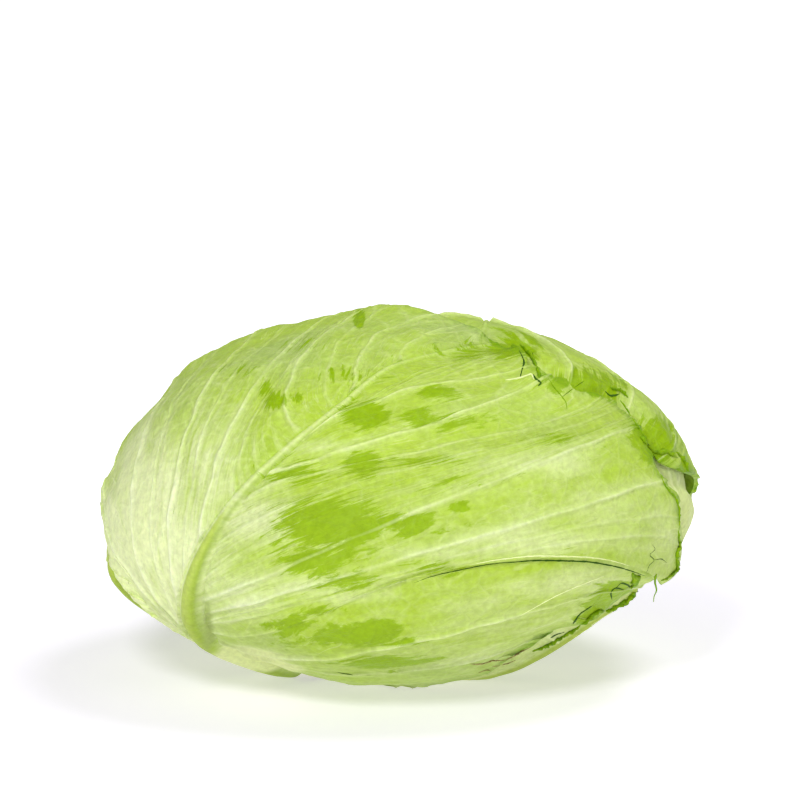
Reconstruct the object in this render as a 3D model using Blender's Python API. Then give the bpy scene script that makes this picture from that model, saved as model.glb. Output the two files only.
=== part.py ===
"""A flat-headed cabbage, lying on its base with the cut stem a little to its left.

The head is a flattened ball. A place on it is a unit direction from its middle. Each leaf is
drawn on a chart of its own, in degrees east and north of the chart's middle, and the chart is
wrapped onto the head. The leaves lie in layers: a leaf sinks by one layer wherever another leaf
lies over it. The front leaf faces -Y, and its chart looks at the head from a little above.
"""

import math

import bpy
import numpy as np

# The head, in metres
HEAD_WIDTH = 0.220
HEAD_DEPTH = 0.200
HEAD_HEIGHT = 0.1345
SETTLING = 0.0012

# Leaf layers, in metres
BLADE = 0.0009
LAYER = 0.0022
EDGE_WAVE = 0.0016
VEIN_HEIGHT = 0.0014
TEAR_LIFT = 0.0062

# The wave of the leaf edges and the ragged line of the margins: turns, start and share
EDGE_WAVES = ((9, 0, 0.6), (16, 70, 0.4))
EDGE_WAVE_START = 0.72
RAGGED_WAVES = ((17, 0, 0.4), (29, 40, 0.28))

# Lumps, as a fraction of the head's radius, and where it is pressed in or bulges out: the
# direction, how many degrees wide, and how deep as a fraction of the radius
LUMP = 0.006
PRESSES = [
    ((0.72, -0.34, -0.61), 28, 0.090),
    ((0.52, -0.46, -0.72), 16, 0.048),
    ((-0.84, 0.10, 0.53), 27, 0.052),
    ((-0.96, -0.05, 0.22), 13, 0.026),
    ((-0.88, -0.18, -0.43), 11, -0.026),
    ((-0.40, -0.35, -0.85), 20, 0.018),
]

# Angles about the middle of the head, in degrees
STEM_DIRECTION = (-0.282, 0.050, -0.958)
STEM_RADIUS = 8.2
LEAF_BASE_RADIUS = 9.2
COVER_REACH = 4.0
REACH_STEP = 1.1
COVER_FALL = 6.5
FRONT_FACING = (0.0, -0.9617, 0.2749)

# The stem's cut face and inner end, in metres below the head's surface
CUT_DEPTH = 0.0026
STEM_DEPTH = 0.0150
STEM_BEVEL = 0.0011
STEM_TAPER_START = 0.0060
STEM_SEGMENTS = 28
SOCKET_DEPTH = 0.0162

# The heart's rings, in degrees from the stem: four of them make the socket
SOCKET_RINGS = (0.0, 5.0, 10.3, 12.6)
SOCKET_RADIUS = 11.0
HEART_FIRST_RING = 19.0
HEART_RING_GAP = 9.0
HEART_SEGMENTS = 30

# Front leaf: the midrib from the stem to the tip, in degrees east and north
FRONT_MIDRIB = [
    (-36, -93), (-41, -80), (-47, -68), (-50, -58), (-49, -48), (-46, -35), (-40, -17),
    (-32, 0), (-22, 15), (-11, 31), (-2, 45), (9, 52), (23.5, 59.4),
]

# Front leaf: its margin, as direction from the chart's middle and distance, in degrees
FRONT_MARGIN = [
    (-103, 100), (-97, 96), (-90, 90), (-84, 88), (-76, 84), (-69, 77), (-61, 71), (-54, 69),
    (-46, 69), (-39, 72), (-33, 73), (-27, 77), (-21, 88), (-14, 82), (-7, 73), (0, 68),
    (7, 67), (15, 64), (26, 65), (36, 66), (41, 60), (44, 53), (48, 54), (52, 52), (57, 53),
    (62, 61), (68, 64), (76, 70), (80, 74), (90, 80), (100, 87), (110, 92), (125, 95),
    (140, 96), (155, 95), (165, 91), (172, 87), (181, 83), (192, 81), (202, 78), (212, 77),
    (218, 79.5), (222, 82.5), (225, 86), (228, 90), (232, 94), (236, 98), (240, 101), (243, 106),
]

# Front leaf: side veins and the lines between them. Each has its place along the midrib, two
# points that it passes a third and two thirds of the way out, and its end's direction. A vein
# of strength 0 is a line only.
FRONT_LOWER_RIGHT = [
    (0.000, (-27.2, -93.2), (-24.8, -95.4), -103, 0.0),
    (0.080, (-24, -84.5), (-7, -86.5), -84, 0.5),
    (0.120, (-21, -75), (6, -76), -69, 0.0),
    (0.163, (-17, -66), (14, -62), -54, 0.8),
    (0.190, (-17, -60.5), (19, -49), -42, 0.0),
    (0.224, (-17, -55), (22, -39), -29, 1.0),
    (0.260, (-17, -37.2), (19, -20.4), -20, 0.4),
]
FRONT_UPPER_RIGHT = [
    (0.268, (-16.8, -35.0), (19.6, -20.2), -27, 0.0),
    (0.279, (-12.4, -29.0), (29.6, -16.0), -14, 0.4),
    (0.290, (-9, -25.3), (31, -10), -6, 0.5),
    (0.305, (-10.5, -22), (29, -4), 7, 1.0),
    (0.338, (-10, -11.5), (24, 10), 26, 1.0),
    (0.395, (-12, -3), (22, 14), 30, 0.6),
    (0.463, (-7, 6.5), (22, 18), 34, 0.7),
    (0.560, (-5, 12.5), (24, 23), 39, 0.9),
    (0.600, (-8, 16.5), (11, 27), 52, 1.0),
    (0.680, (-3.5, 33), (12, 40), 58, 0.8),
    (0.800, (5, 43), (18, 50), 62.5, 0.0),
    (1.000, (24.3, 58.5), (25.3, 57.6), 65, 0.0),
]
FRONT_LEFT = [
    (0.000, (-44, -93.4), (-46, -93.8), 243, 0.0),
    (0.080, (-51, -79), (-54.5, -76.5), 232, 0.0),
    (0.163, (-55.6, -63.2), (-58, -58.7), 222, 0.0),
    (0.185, (-57.2, -56.4), (-60, -49.7), 214, 0.0),
    (0.205, (-58.2, -49.5), (-63.8, -38.3), 200, 0.0),
    (0.214, (-59.6, -44), (-68.8, -27), 190, 0.0),
    (0.224, (-60.2, -38.5), (-73, -16), 175, 0.9),
    (0.260, (-59.5, -17), (-63, 23), 140, 1.0),
    (0.285, (-53.5, -7), (-54, 33), 129, 0.6),
    (0.338, (-47, 3), (-43.5, 41), 117, 1.0),
    (0.395, (-41.5, 10), (-37, 47), 109, 0.6),
    (0.463, (-34.8, 18), (-27, 53), 101, 1.0),
    (0.560, (-29.5, 24), (-23, 52), 98.5, 0.4),
    (0.680, (-23, 39), (-18, 61), 95.5, 0.9),
    (0.735, (-15, 43), (-12, 62), 91.5, 0.6),
    (0.775, (-8.5, 47), (-4, 62), 82, 0.8),
    (0.860, (2, 54), (8, 62), 76.5, 0.5),
    (1.000, (22.6, 60.5), (21.8, 61.6), 71.5, 0.0),
]
FRONT_TEAR_ROW = 0.260
FRONT_TEAR_START = 0.50
FRONT_TEAR_TOP = 0.305

# Midrib: half width in degrees and height in metres, at places along its length
MIDRIB_PLACES = (0.0, 0.16, 0.34, 0.50, 0.65, 0.80, 1.0)
MIDRIB_HALF_WIDTH = (6.5, 5.6, 3.2, 1.7, 1.1, 0.8, 0.5)
MIDRIB_HEIGHT = (0.0040, 0.0042, 0.0034, 0.0022, 0.0012, 0.0007, 0.0003)
MIDRIB_ACROSS = (-1.0, -0.55, 0.0, 0.55, 1.0)
MIDRIB_PROFILE = (0.0, 0.75, 1.0, 0.75, 0.0)

# Side veins: how sharp a ridge is, and how much of its height is lost on the way out
RIDGE_WIDTH = 0.006
VEIN_TAPER = 0.75

# The other leaves: where each midrib leaves the stem, seen from above, how far its chart's
# middle is from the stem, and its margin in its own chart
BACK_AZIMUTH = 84.0
RIGHT_AZIMUTH = 344.0
LEFT_AZIMUTH = 188.0
INNER_AZIMUTH = 34.0

BACK_MARGIN = [
    (-96, 86), (-84, 86), (-70, 84), (-50, 84), (-30, 88), (-10, 92), (10, 92), (30, 90),
    (50, 88), (70, 91), (90, 98), (100, 107), (112, 112), (122, 106), (131, 101), (141, 101),
    (147, 98), (151, 92), (155, 86), (161, 78), (170, 72), (183, 69), (200, 69), (225, 74),
    (250, 84), (264, 86), (276, 86),
]
SIDE_MARGIN = [
    (-96, 86), (-82, 85), (-60, 76), (-30, 70), (0, 70), (30, 72), (60, 74), (90, 76),
    (120, 74), (150, 72), (180, 70), (210, 70), (240, 76), (262, 85), (276, 86),
]
BACK_VEIN_PAIRS = 7
RIGHT_VEIN_PAIRS = 5
LEFT_VEIN_PAIRS = 5
INNER_VEIN_PAIRS = 3
FIRST_PAIR = 0.10
LAST_PAIR = 0.84
BASE_CORNER = -78.0
MARGIN_TURN = 160.0
VEIN_RISE = 0.62
VEIN_SAG = 0.055
SAG_FADE = 0.4
ROUND_VEIN_STRENGTH = 1.3

# Steps from the midrib to the left and right margins, the half width of a side vein's ridge as
# a share of the midrib's length, and the widest gap between rows, in degrees
FRONT_MESH = ((8, 11), 0.010, 9.5)
BACK_MESH = ((9, 9), 0.011, 10.0)
RIGHT_MESH = ((9, 9), 0.012, 10.0)
LEFT_MESH = ((7, 7), 0.012, 11.0)
INNER_MESH = ((7, 7), 0.030, 10.0)

# Colours from the photograph's mid tones
PALE_GREEN = (0.50, 0.66, 0.24)
MID_GREEN = (0.40, 0.58, 0.15)
DEEP_GREEN = (0.24, 0.44, 0.05)
CREAM = (0.74, 0.78, 0.50)


def unit(vectors):
    vectors = np.asarray(vectors, float)
    return vectors / np.linalg.norm(vectors, axis=-1, keepdims=True)


def smooth_step(value):
    value = np.clip(value, 0.0, 1.0)
    return value * value * (3.0 - 2.0 * value)


def through(x, xs, ys):
    """A smooth curve through the points (xs, ys) that doesn't overshoot between them."""
    xs = np.asarray(xs, float)
    ys = np.asarray(ys, float)
    slopes = np.diff(ys) / np.diff(xs)
    tangents = np.zeros(len(xs))
    tangents[0] = slopes[0]
    tangents[-1] = slopes[-1]
    before, after = slopes[:-1], slopes[1:]
    same_way = before * after > 0
    mean = np.where(same_way, 2 * before * after / np.where(same_way, before + after, 1), 0)
    tangents[1:-1] = mean
    x = np.clip(x, xs[0], xs[-1])
    place = np.clip(np.searchsorted(xs, x, side="right") - 1, 0, len(xs) - 2)
    span = xs[place + 1] - xs[place]
    t = (x - xs[place]) / span
    rise = (3 - 2 * t) * t * t
    return (
        ys[place] * (1 - rise)
        + ys[place + 1] * rise
        + span * t * (1 - t) * (tangents[place] * (1 - t) - tangents[place + 1] * t)
    )


def waves(angle, parts):
    """A sum of sine waves round a leaf. Each part has its count of turns, start and height."""
    return sum(height * np.sin(np.radians(turns * angle + start)) for turns, start, height in parts)


class Chart:
    """A flat map of the head about one direction: angles from it are true to scale."""

    def __init__(self, facing, up):
        self.facing = unit(facing)
        up = np.asarray(up, float)
        self.north = unit(up - np.dot(up, self.facing) * self.facing)
        self.east = np.cross(self.north, self.facing)

    def direction(self, east, north):
        distance = np.radians(np.hypot(east, north))
        angle = np.arctan2(north, east)
        sideways = (
            np.cos(angle)[..., None] * self.east + np.sin(angle)[..., None] * self.north
        )
        return np.cos(distance)[..., None] * self.facing + np.sin(distance)[..., None] * sideways

    def polar(self, directions):
        """(angle from the chart's east, distance from its middle), both in degrees."""
        distance = np.degrees(np.arccos(np.clip(directions @ self.facing, -1.0, 1.0)))
        angle = np.degrees(np.arctan2(directions @ self.north, directions @ self.east))
        return angle, distance


def stem_frame():
    """The direction of the stem, and two directions across it: right, and away."""
    stem = unit(STEM_DIRECTION)
    right = unit(np.array([1.0, 0.0, 0.0]) - stem[0] * stem)
    return stem, right, np.cross(-stem, right)


def from_stem(azimuth, angle):
    """The direction that lies the given angle from the stem, in degrees."""
    stem, right, away = stem_frame()
    azimuth, angle = np.radians(azimuth), np.radians(angle)
    across = np.cos(azimuth)[..., None] * right + np.sin(azimuth)[..., None] * away
    return np.cos(angle)[..., None] * stem + np.sin(angle)[..., None] * across


def angle_between(directions, other):
    return np.degrees(np.arccos(np.clip(directions @ unit(other), -1.0, 1.0)))


def head_shape(directions):
    """How far the head reaches in each direction, as a fraction of the plain flattened ball."""
    x, y, z = directions[..., 0], directions[..., 1], directions[..., 2]
    lumps = np.sin(5.1 * x + 1.3) * np.cos(4.3 * y - 0.7) + np.sin(6.2 * z + 3.4 * x)
    fade = smooth_step((z + 0.90) / 0.35)
    shape = 1.0 + LUMP * lumps * fade
    for direction, width, depth in PRESSES:
        shape = shape - depth * np.exp(-((angle_between(directions, direction) / width) ** 2))
    return shape


def on_head(directions, height):
    """Points at a height above the head's surface, none below the ground or its own layer."""
    radii = np.array([HEAD_WIDTH, HEAD_DEPTH, HEAD_HEIGHT]) / 2
    middle = np.array([0.0, 0.0, HEAD_HEIGHT / 2 - SETTLING])
    points = middle + directions * radii * head_shape(directions)[..., None]
    points = points + unit(directions / radii) * np.asarray(height)[..., None]
    points[..., 2] = np.maximum(points[..., 2], np.maximum(-height, 0.0))
    return points


class Leaf:
    """One leaf: its chart, midrib, margin, veins, and the leaves that lie over it."""

    def __init__(self, chart, midrib, margin, right, left, over):
        self.reach = COVER_REACH + REACH_STEP * len(over)
        self.chart = chart
        self.margin = np.array(margin, float)
        self.right = right
        self.left = left
        self.over = over
        points = np.array(midrib, float)
        lengths = np.hypot(*np.diff(points, axis=0).T)
        self.midrib_length = lengths.sum()
        self.midrib_places = np.concatenate([[0.0], np.cumsum(lengths)]) / lengths.sum()
        self.midrib_points = points

    def margin_at(self, angle):
        """Distance of the margin from the chart's middle. Angles run on from the base."""
        start = self.margin[0, 0]
        angle = start + np.mod(np.asarray(angle, float) - start, 360.0)
        return through(angle, self.margin[:, 0], self.margin[:, 1]) + waves(angle, RAGGED_WAVES)

    def covers(self, directions, reach):
        """1 where this leaf lies over, falling to 0 a little outside its margin."""
        angle, distance = self.chart.polar(directions)
        outside = distance - self.margin_at(angle)
        return 1.0 - smooth_step((outside - reach) / COVER_FALL)

    def midrib_at(self, place):
        places, points = self.midrib_places, self.midrib_points
        return np.stack(
            [through(place, places, points[:, 0]), through(place, places, points[:, 1])], -1
        )

    def side(self, veins, places, feet, outward):
        """Chart points of a half blade: one row for each place, one column for each step out."""
        keys = np.array([vein[0] for vein in veins])
        near = np.stack([through(places, keys, [v[1][axis] for v in veins]) for axis in (0, 1)], -1)
        far = np.stack([through(places, keys, [v[2][axis] for v in veins]) for axis in (0, 1)], -1)
        angle = through(places, keys, [v[3] for v in veins])
        distance = self.margin_at(angle)
        end = np.stack(
            [distance * np.cos(np.radians(angle)), distance * np.sin(np.radians(angle))], -1
        )
        w = np.asarray(outward)[None, :, None]
        feet, near, far, end = (points[:, None, :] for points in (feet, near, far, end))
        return (
            feet * (1 - w) * (1 - 3 * w) * (2 - 3 * w) / 2
            + near * 9 * w * (1 - w) * (2 - 3 * w) / 2
            + far * 9 * w * (1 - w) * (3 * w - 1) / 2
            + end * w * (3 * w - 1) * (3 * w - 2) / 2
        )


def steps_outward(count):
    """Shares of the way from the midrib's foot to the margin, with a narrow last step."""
    even = np.arange(1, count + 1) / count
    return even + 0.25 / count * np.sin(np.pi * even)


def vein_relief(veins, places):
    """Height of the side veins' ridges at places along the midrib, as shares of the full one."""
    relief = np.zeros(len(places))
    for vein in veins:
        ridge = vein[4] * np.exp(-(((places - vein[0]) / RIDGE_WIDTH) ** 2))
        relief = np.maximum(relief, ridge)
    return relief


def rows_for(leaf, ridge_half_width, longest):
    """Places along the midrib: on each vein, at its two feet, and between far veins."""
    crests = {vein[0] for vein in leaf.right + leaf.left if vein[4] > 0}
    places = {vein[0] for vein in leaf.right + leaf.left}
    for place in sorted(crests):
        for foot in (place - ridge_half_width, place + ridge_half_width):
            if all(abs(foot - other) > ridge_half_width * 0.8 for other in places):
                places.add(foot)
    ordered = sorted(places)
    for low, high in zip(ordered, ordered[1:]):
        both = np.array([low, high])
        widths = [(high - low) * leaf.midrib_length]
        for veins in (leaf.right, leaf.left):
            turn = through(both, [vein[0] for vein in veins], [vein[3] for vein in veins])
            reach = math.sin(math.radians(min(leaf.margin_at(turn).mean(), 90)))
            widths.append(abs(turn[1] - turn[0]) * reach)
        extra = int(max(widths) / longest)
        places.update(low + (high - low) * step / (extra + 1) for step in range(1, extra + 1))
    return np.array(sorted(places))


def leaf_grid(leaf, places, steps_out, tear=None):
    """The leaf's chart points, row by row from the base, and each column's step out."""
    steps_left, steps_right = steps_out
    middle = leaf.midrib_at(places)
    tangent = unit(np.gradient(middle, axis=0))
    across = np.stack([tangent[:, 1], -tangent[:, 0]], -1)
    half_width = through(places, MIDRIB_PLACES, MIDRIB_HALF_WIDTH)
    ribs = [middle + across * (half_width * step)[:, None] for step in MIDRIB_ACROSS]
    left = leaf.side(leaf.left, places, ribs[0], steps_left)
    if tear is None:
        right = leaf.side(leaf.right, places, ribs[-1], steps_right)
    else:
        below = places <= tear
        right = np.concatenate(
            [
                leaf.side(FRONT_LOWER_RIGHT, places[below], ribs[-1][below], steps_right),
                leaf.side(FRONT_UPPER_RIGHT, places[~below], ribs[-1][~below], steps_right),
            ]
        )
    grid = np.concatenate([left[:, ::-1], np.stack(ribs, 1), right], 1)
    steps = np.concatenate([-steps_left[::-1], np.zeros(len(MIDRIB_ACROSS)), steps_right])
    return grid, steps


def covering(leaves, directions, reach):
    """How many of the leaves lie over each direction."""
    return sum((leaf.covers(directions, reach) for leaf in leaves), np.zeros(directions.shape[:-1]))


def leaf_heights(leaf, directions, places, steps, lift):
    """Heights of the leaf's outer and inner face above the head's surface."""
    layers = covering(leaf.over, directions, leaf.reach)
    bare = 1.0 - np.minimum(layers, 1.0)
    far = np.abs(steps)[None, :]
    angle, _ = leaf.chart.polar(directions)
    near_edge = smooth_step((far - EDGE_WAVE_START) / (1 - EDGE_WAVE_START)) ** 2
    edge = EDGE_WAVE * (1.0 + waves(angle, EDGE_WAVES)) * near_edge
    body = -LAYER * layers + (edge + lift) * bare
    right = vein_relief(leaf.right, places)[:, None] * (steps > 0)
    left = vein_relief(leaf.left, places)[:, None] * (steps < 0)
    veins = VEIN_HEIGHT * (right + left) * (1.0 - VEIN_TAPER * far)
    profile = np.zeros(len(steps))
    first = int(np.argmin(np.abs(steps)))
    profile[first:first + len(MIDRIB_PROFILE)] = MIDRIB_PROFILE
    midrib = through(places, MIDRIB_PLACES, MIDRIB_HEIGHT)[:, None] * profile[None, :]
    return body + (veins + midrib) * bare, body - BLADE


def shell(name, outer, inner, kept, colour):
    """A closed leaf from two matching grids of points. Cells that aren't kept are open."""
    rows, columns = outer.shape[:2]
    inner_start = rows * columns
    faces = []
    edges = {}
    for row in range(rows - 1):
        for column in range(columns - 1):
            if not kept[row, column]:
                continue
            a = row * columns + column
            corners = (a, a + 1, a + columns + 1, a + columns)
            for cut in ((0, 1, 2), (0, 2, 3)):
                face = tuple(corners[i] for i in cut)
                faces.append(face)
                faces.append(tuple(inner_start + corner for corner in reversed(face)))
            for start, end in zip(corners, corners[1:] + corners[:1]):
                edges[start, end] = True
    for start, end in edges:
        if (end, start) in edges:
            continue
        faces.append((end, start, inner_start + start))
        faces.append((end, inner_start + start, inner_start + end))
    points = np.concatenate([outer.reshape(-1, 3), inner.reshape(-1, 3)])
    used = sorted({corner for face in faces for corner in face})
    number = {corner: index for index, corner in enumerate(used)}
    faces = [tuple(number[corner] for corner in face) for face in faces]
    return add_object(name, points[used], faces, colour)


def add_object(name, points, faces, colour):
    mesh = bpy.data.meshes.new(name)
    mesh.from_pydata([tuple(point) for point in points], [], faces)
    mesh.update()
    mesh.shade_smooth()
    made = bpy.data.objects.new(name, mesh)
    bpy.context.scene.collection.objects.link(made)
    material = bpy.data.materials.new(name)
    material.use_nodes = True
    shader = material.node_tree.nodes["Principled BSDF"]
    shader.inputs["Base Color"].default_value = (*colour, 1.0)
    shader.inputs["Roughness"].default_value = 0.45
    shader.inputs["Metallic"].default_value = 0.0
    mesh.materials.append(material)
    return made


def front_leaf():
    chart = Chart(FRONT_FACING, (0, 0, 1))
    right = FRONT_LOWER_RIGHT + FRONT_UPPER_RIGHT
    return Leaf(chart, FRONT_MIDRIB, FRONT_MARGIN, right, FRONT_LEFT, [])


def round_leaf(azimuth, margin, over, pairs, middle=95.0):
    """A leaf with paired veins whose chart faces the given angle up from the stem."""
    up = -unit(STEM_DIRECTION)
    chart = Chart(from_stem(np.float64(azimuth), np.float64(middle)), up)
    margin_angles = np.array(margin, float)
    tip = float(np.interp(90, margin_angles[:, 0], margin_angles[:, 1]))
    base = LEAF_BASE_RADIUS - middle
    midrib = [(0, base + (tip - base) * step / 6) for step in range(7)]
    leaf = Leaf(chart, midrib, margin, [], [], over)
    for side, veins in ((1, leaf.right), (-1, leaf.left)):
        places = [0.0, *np.linspace(FIRST_PAIR, LAST_PAIR, pairs), 1.0]
        for index, place in enumerate(places):
            last = index in (0, len(places) - 1)
            strength = 0.0 if last else ROUND_VEIN_STRENGTH
            turn = BASE_CORNER + MARGIN_TURN * place ** VEIN_RISE
            if side < 0:
                turn = 180 - turn
            half_width = through(np.float64(place), MIDRIB_PLACES, MIDRIB_HALF_WIDTH)
            start = leaf.midrib_at(np.float64(place)) + np.array([side * half_width, 0.0])
            reach = leaf.margin_at(turn)
            end = reach * np.array([math.cos(math.radians(turn)), math.sin(math.radians(turn))])
            sagging = smooth_step(place / SAG_FADE) * (not last)
            sag = np.array([0.0, -VEIN_SAG * np.hypot(*(end - start))]) * sagging
            near = start + (end - start) / 3 + sag
            far = start + (end - start) * 2 / 3 + sag
            veins.append((place, tuple(near), tuple(far), turn, strength))
    return leaf


def build_leaf(name, leaf, mesh, colour, tear=None):
    (columns_left, columns_right), ridge_half_width, longest = mesh
    places = rows_for(leaf, ridge_half_width, longest)
    steps_out = (steps_outward(columns_left), steps_outward(columns_right))
    grid, steps = leaf_grid(leaf, places, steps_out, tear)
    directions = leaf.chart.direction(grid[..., 0], grid[..., 1])
    kept = np.ones((grid.shape[0] - 1, grid.shape[1] - 1), bool)
    lift = np.zeros(grid.shape[:2])
    if tear is not None:
        out = np.clip((steps - FRONT_TEAR_START) / (1 - FRONT_TEAR_START), 0, 1) ** 0.4
        near_tear = 1 - smooth_step((places - tear) / (FRONT_TEAR_TOP - tear))
        lift = TEAR_LIFT * out[None, :] * (near_tear * (places > tear))[:, None]
        row = int(np.flatnonzero(places <= tear)[-1])
        kept[row] = steps[:-1] < FRONT_TEAR_START
    high, low = leaf_heights(leaf, directions, places, steps, lift)
    return shell(name, on_head(directions, high), on_head(directions, low), kept, colour)


def build_turned(name, angles, height_at, segments, colour):
    """A closed body of rings about the stem's direction, with a point at either end."""
    ring = np.arange(segments) * 360.0 / segments
    azimuth, angle = np.meshgrid(ring, angles[1:-1])
    directions = from_stem(azimuth, angle)
    ends = from_stem(np.zeros(2), np.array([angles[0], angles[-1]]))
    points = [on_head(directions, height_at(directions, angle)).reshape(-1, 3)]
    points.append(on_head(ends, height_at(ends, np.array([angles[0], angles[-1]]))))
    points = np.concatenate(points)
    first, last = len(points) - 2, len(points) - 1
    faces = []
    rings = len(angles) - 2
    for segment in range(segments):
        after = (segment + 1) % segments
        faces.append((first, after, segment))
        for row in range(rings - 1):
            a, b = row * segments + segment, row * segments + after
            c, d = b + segments, a + segments
            faces.append((a, b, c))
            faces.append((a, c, d))
        end = (rings - 1) * segments
        faces.append((last, end + segment, end + after))
    return add_object(name, points, faces, colour)


def build_heart(leaves):
    """The dense inner head, just inside all the leaves, with a socket for the stem."""
    rings = np.arange(HEART_FIRST_RING, 180 - HEART_RING_GAP / 2, HEART_RING_GAP)
    angles = np.concatenate([SOCKET_RINGS, rings, [180]])

    def height_at(directions, angle):
        layers = covering(leaves, directions, COVER_REACH + REACH_STEP * len(leaves))
        return np.where(angle < SOCKET_RADIUS, -SOCKET_DEPTH, -LAYER * layers)

    return build_turned("heart", angles, height_at, HEART_SEGMENTS, PALE_GREEN)


def build_stem():
    """A short plug with a flat cut face, a little inside the ends of the leaves."""
    segments = STEM_SEGMENTS
    stem, right, away = stem_frame()
    cut_middle = on_head(stem[None, :], np.array([-CUT_DEPTH]))[0]
    rim = on_head(
        from_stem(np.arange(segments) * 360.0 / segments, np.full(segments, STEM_RADIUS)),
        np.full(segments, -CUT_DEPTH),
    )
    radii = np.linalg.norm(rim - cut_middle, axis=1)
    axis = unit(stem / np.array([HEAD_WIDTH, HEAD_DEPTH, HEAD_HEIGHT]))
    side = unit(right - np.dot(right, axis) * axis)
    other = np.cross(-axis, side)
    turns = np.radians(np.arange(segments) * 360.0 / segments)
    spokes = np.cos(turns)[:, None] * side + np.sin(turns)[:, None] * other
    rings = [
        (0.93, 0.0), (1.0, STEM_BEVEL), (1.0, STEM_TAPER_START), (0.94, STEM_DEPTH - CUT_DEPTH),
    ]
    points = [cut_middle + spokes * (radii * scale)[:, None] - axis * deep for scale, deep in rings]
    points += [cut_middle[None, :], (cut_middle - axis * rings[-1][1])[None, :]]
    points = np.concatenate(points)
    outer_end, inner_end = len(points) - 2, len(points) - 1
    faces = []
    for segment in range(segments):
        after = (segment + 1) % segments
        faces.append((outer_end, after, segment))
        for row in range(len(rings) - 1):
            a, b = row * segments + segment, row * segments + after
            faces.append((a, b, b + segments))
            faces.append((a, b + segments, a + segments))
        end = (len(rings) - 1) * segments
        faces.append((inner_end, end + segment, end + after))
    return add_object("stem", points, faces, CREAM)


def main():
    for old in list(bpy.data.objects):
        bpy.data.objects.remove(old)
    front = front_leaf()
    back = round_leaf(BACK_AZIMUTH, BACK_MARGIN, [front], BACK_VEIN_PAIRS)
    right = round_leaf(RIGHT_AZIMUTH, SIDE_MARGIN, [front, back], RIGHT_VEIN_PAIRS)
    left = round_leaf(LEFT_AZIMUTH, SIDE_MARGIN, [front, back, right], LEFT_VEIN_PAIRS)
    inner = round_leaf(INNER_AZIMUTH, SIDE_MARGIN, [front, back, right, left], INNER_VEIN_PAIRS)
    build_leaf("leaf_front", front, FRONT_MESH, MID_GREEN, tear=FRONT_TEAR_ROW)
    build_leaf("leaf_back", back, BACK_MESH, DEEP_GREEN)
    build_leaf("leaf_right", right, RIGHT_MESH, PALE_GREEN)
    build_leaf("leaf_left", left, LEFT_MESH, MID_GREEN)
    build_leaf("leaf_inner", inner, INNER_MESH, PALE_GREEN)
    build_heart([front, back, right, left, inner])
    build_stem()


main()
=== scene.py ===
"""The flat cabbage's looks: fine leaves with their veins, torn edges and waxy skins.

The head is a flattened ball. A place on it is a unit direction from its middle. Each leaf is
drawn on a chart of its own, in degrees east and north of the chart's middle, and wrapped onto
the head in layers, as in the solids. Here the same leaves are made with fine rows and columns.
"""

import math

import bpy
import numpy as np
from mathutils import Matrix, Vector, noise
from mathutils.bvhtree import BVHTree


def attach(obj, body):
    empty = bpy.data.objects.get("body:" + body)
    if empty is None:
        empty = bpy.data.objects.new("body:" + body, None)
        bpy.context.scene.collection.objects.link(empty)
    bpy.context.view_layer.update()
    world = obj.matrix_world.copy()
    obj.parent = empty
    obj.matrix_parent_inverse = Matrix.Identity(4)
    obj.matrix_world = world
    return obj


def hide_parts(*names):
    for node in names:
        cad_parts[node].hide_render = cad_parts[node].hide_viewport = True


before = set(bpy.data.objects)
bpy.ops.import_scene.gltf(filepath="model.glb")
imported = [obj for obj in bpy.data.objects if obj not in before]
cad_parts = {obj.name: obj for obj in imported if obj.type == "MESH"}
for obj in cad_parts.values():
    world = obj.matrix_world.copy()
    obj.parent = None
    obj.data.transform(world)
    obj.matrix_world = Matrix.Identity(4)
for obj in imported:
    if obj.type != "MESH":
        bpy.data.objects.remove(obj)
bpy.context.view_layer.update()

# The head, in metres
HEAD_WIDTH = 0.220
HEAD_DEPTH = 0.200
HEAD_HEIGHT = 0.1345
SETTLING = 0.0012
HEAD_MIDDLE = (0.0, 0.0, HEAD_HEIGHT / 2 - SETTLING)

# A blade and the step from one layer to the next, in metres, and where a blade grows thin
BLADE = 0.0009
LAYER = 0.0022
THIN_START, THIN_LENGTH = 0.96, 0.04

# The wave of the leaf edges: its height in metres, and the turns, start and share of its parts
EDGE_WAVE = 0.0016
EDGE_WAVES = ((9, 0, 0.6), (16, 70, 0.4))
EDGE_WAVE_START = 0.72

# The ragged line of the margins, in degrees: turns, start and height of its waves, and teeth
RAGGED_WAVES = ((17, 0, 0.4), (29, 40, 0.28), (53, 10, 0.30), (97, 200, 0.24))
TOOTH_DEPTH = 0.8

# Where the front leaf's margin curls up: direction on its chart, degrees wide, and metres
FRONT_CURLS = [
    (-44, 7, 0.0026), (-58, 5, 0.0022), (-22, 5, 0.0018), (2, 6, 0.0012), (56, 4, 0.0016),
    (66, 3, 0.0010),
]
CURL_START = 0.90

# Where its margin lies close to the head: direction, degrees wide, and the share pressed flat
FRONT_HELD = (6, 30, 0.85)

# Lumps, as a fraction of the head's radius, and where it is pressed in or bulges out: the
# direction, how many degrees wide, and how deep as a fraction of the radius
LUMP = 0.006
PRESSES = [
    ((0.72, -0.34, -0.61), 28, 0.090),
    ((0.52, -0.46, -0.72), 16, 0.048),
    ((-0.84, 0.10, 0.53), 27, 0.052),
    ((-0.96, -0.05, 0.22), 13, 0.026),
    ((-0.88, -0.18, -0.43), 11, -0.026),
    ((-0.40, -0.35, -0.85), 20, 0.018),
]

# Where the stem and the front leaf's chart face from the middle of the head. Then, in degrees,
# how far from the stem the leaves begin, and how far past its margin a leaf presses others down
STEM_DIRECTION = (-0.282, 0.050, -0.958)
LEAF_BASE_RADIUS = 9.0
COVER_REACH = 4.0
REACH_STEP = 1.1
COVER_FALL = 6.5
FRONT_FACING = (0.0, -0.9617, 0.2749)

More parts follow.
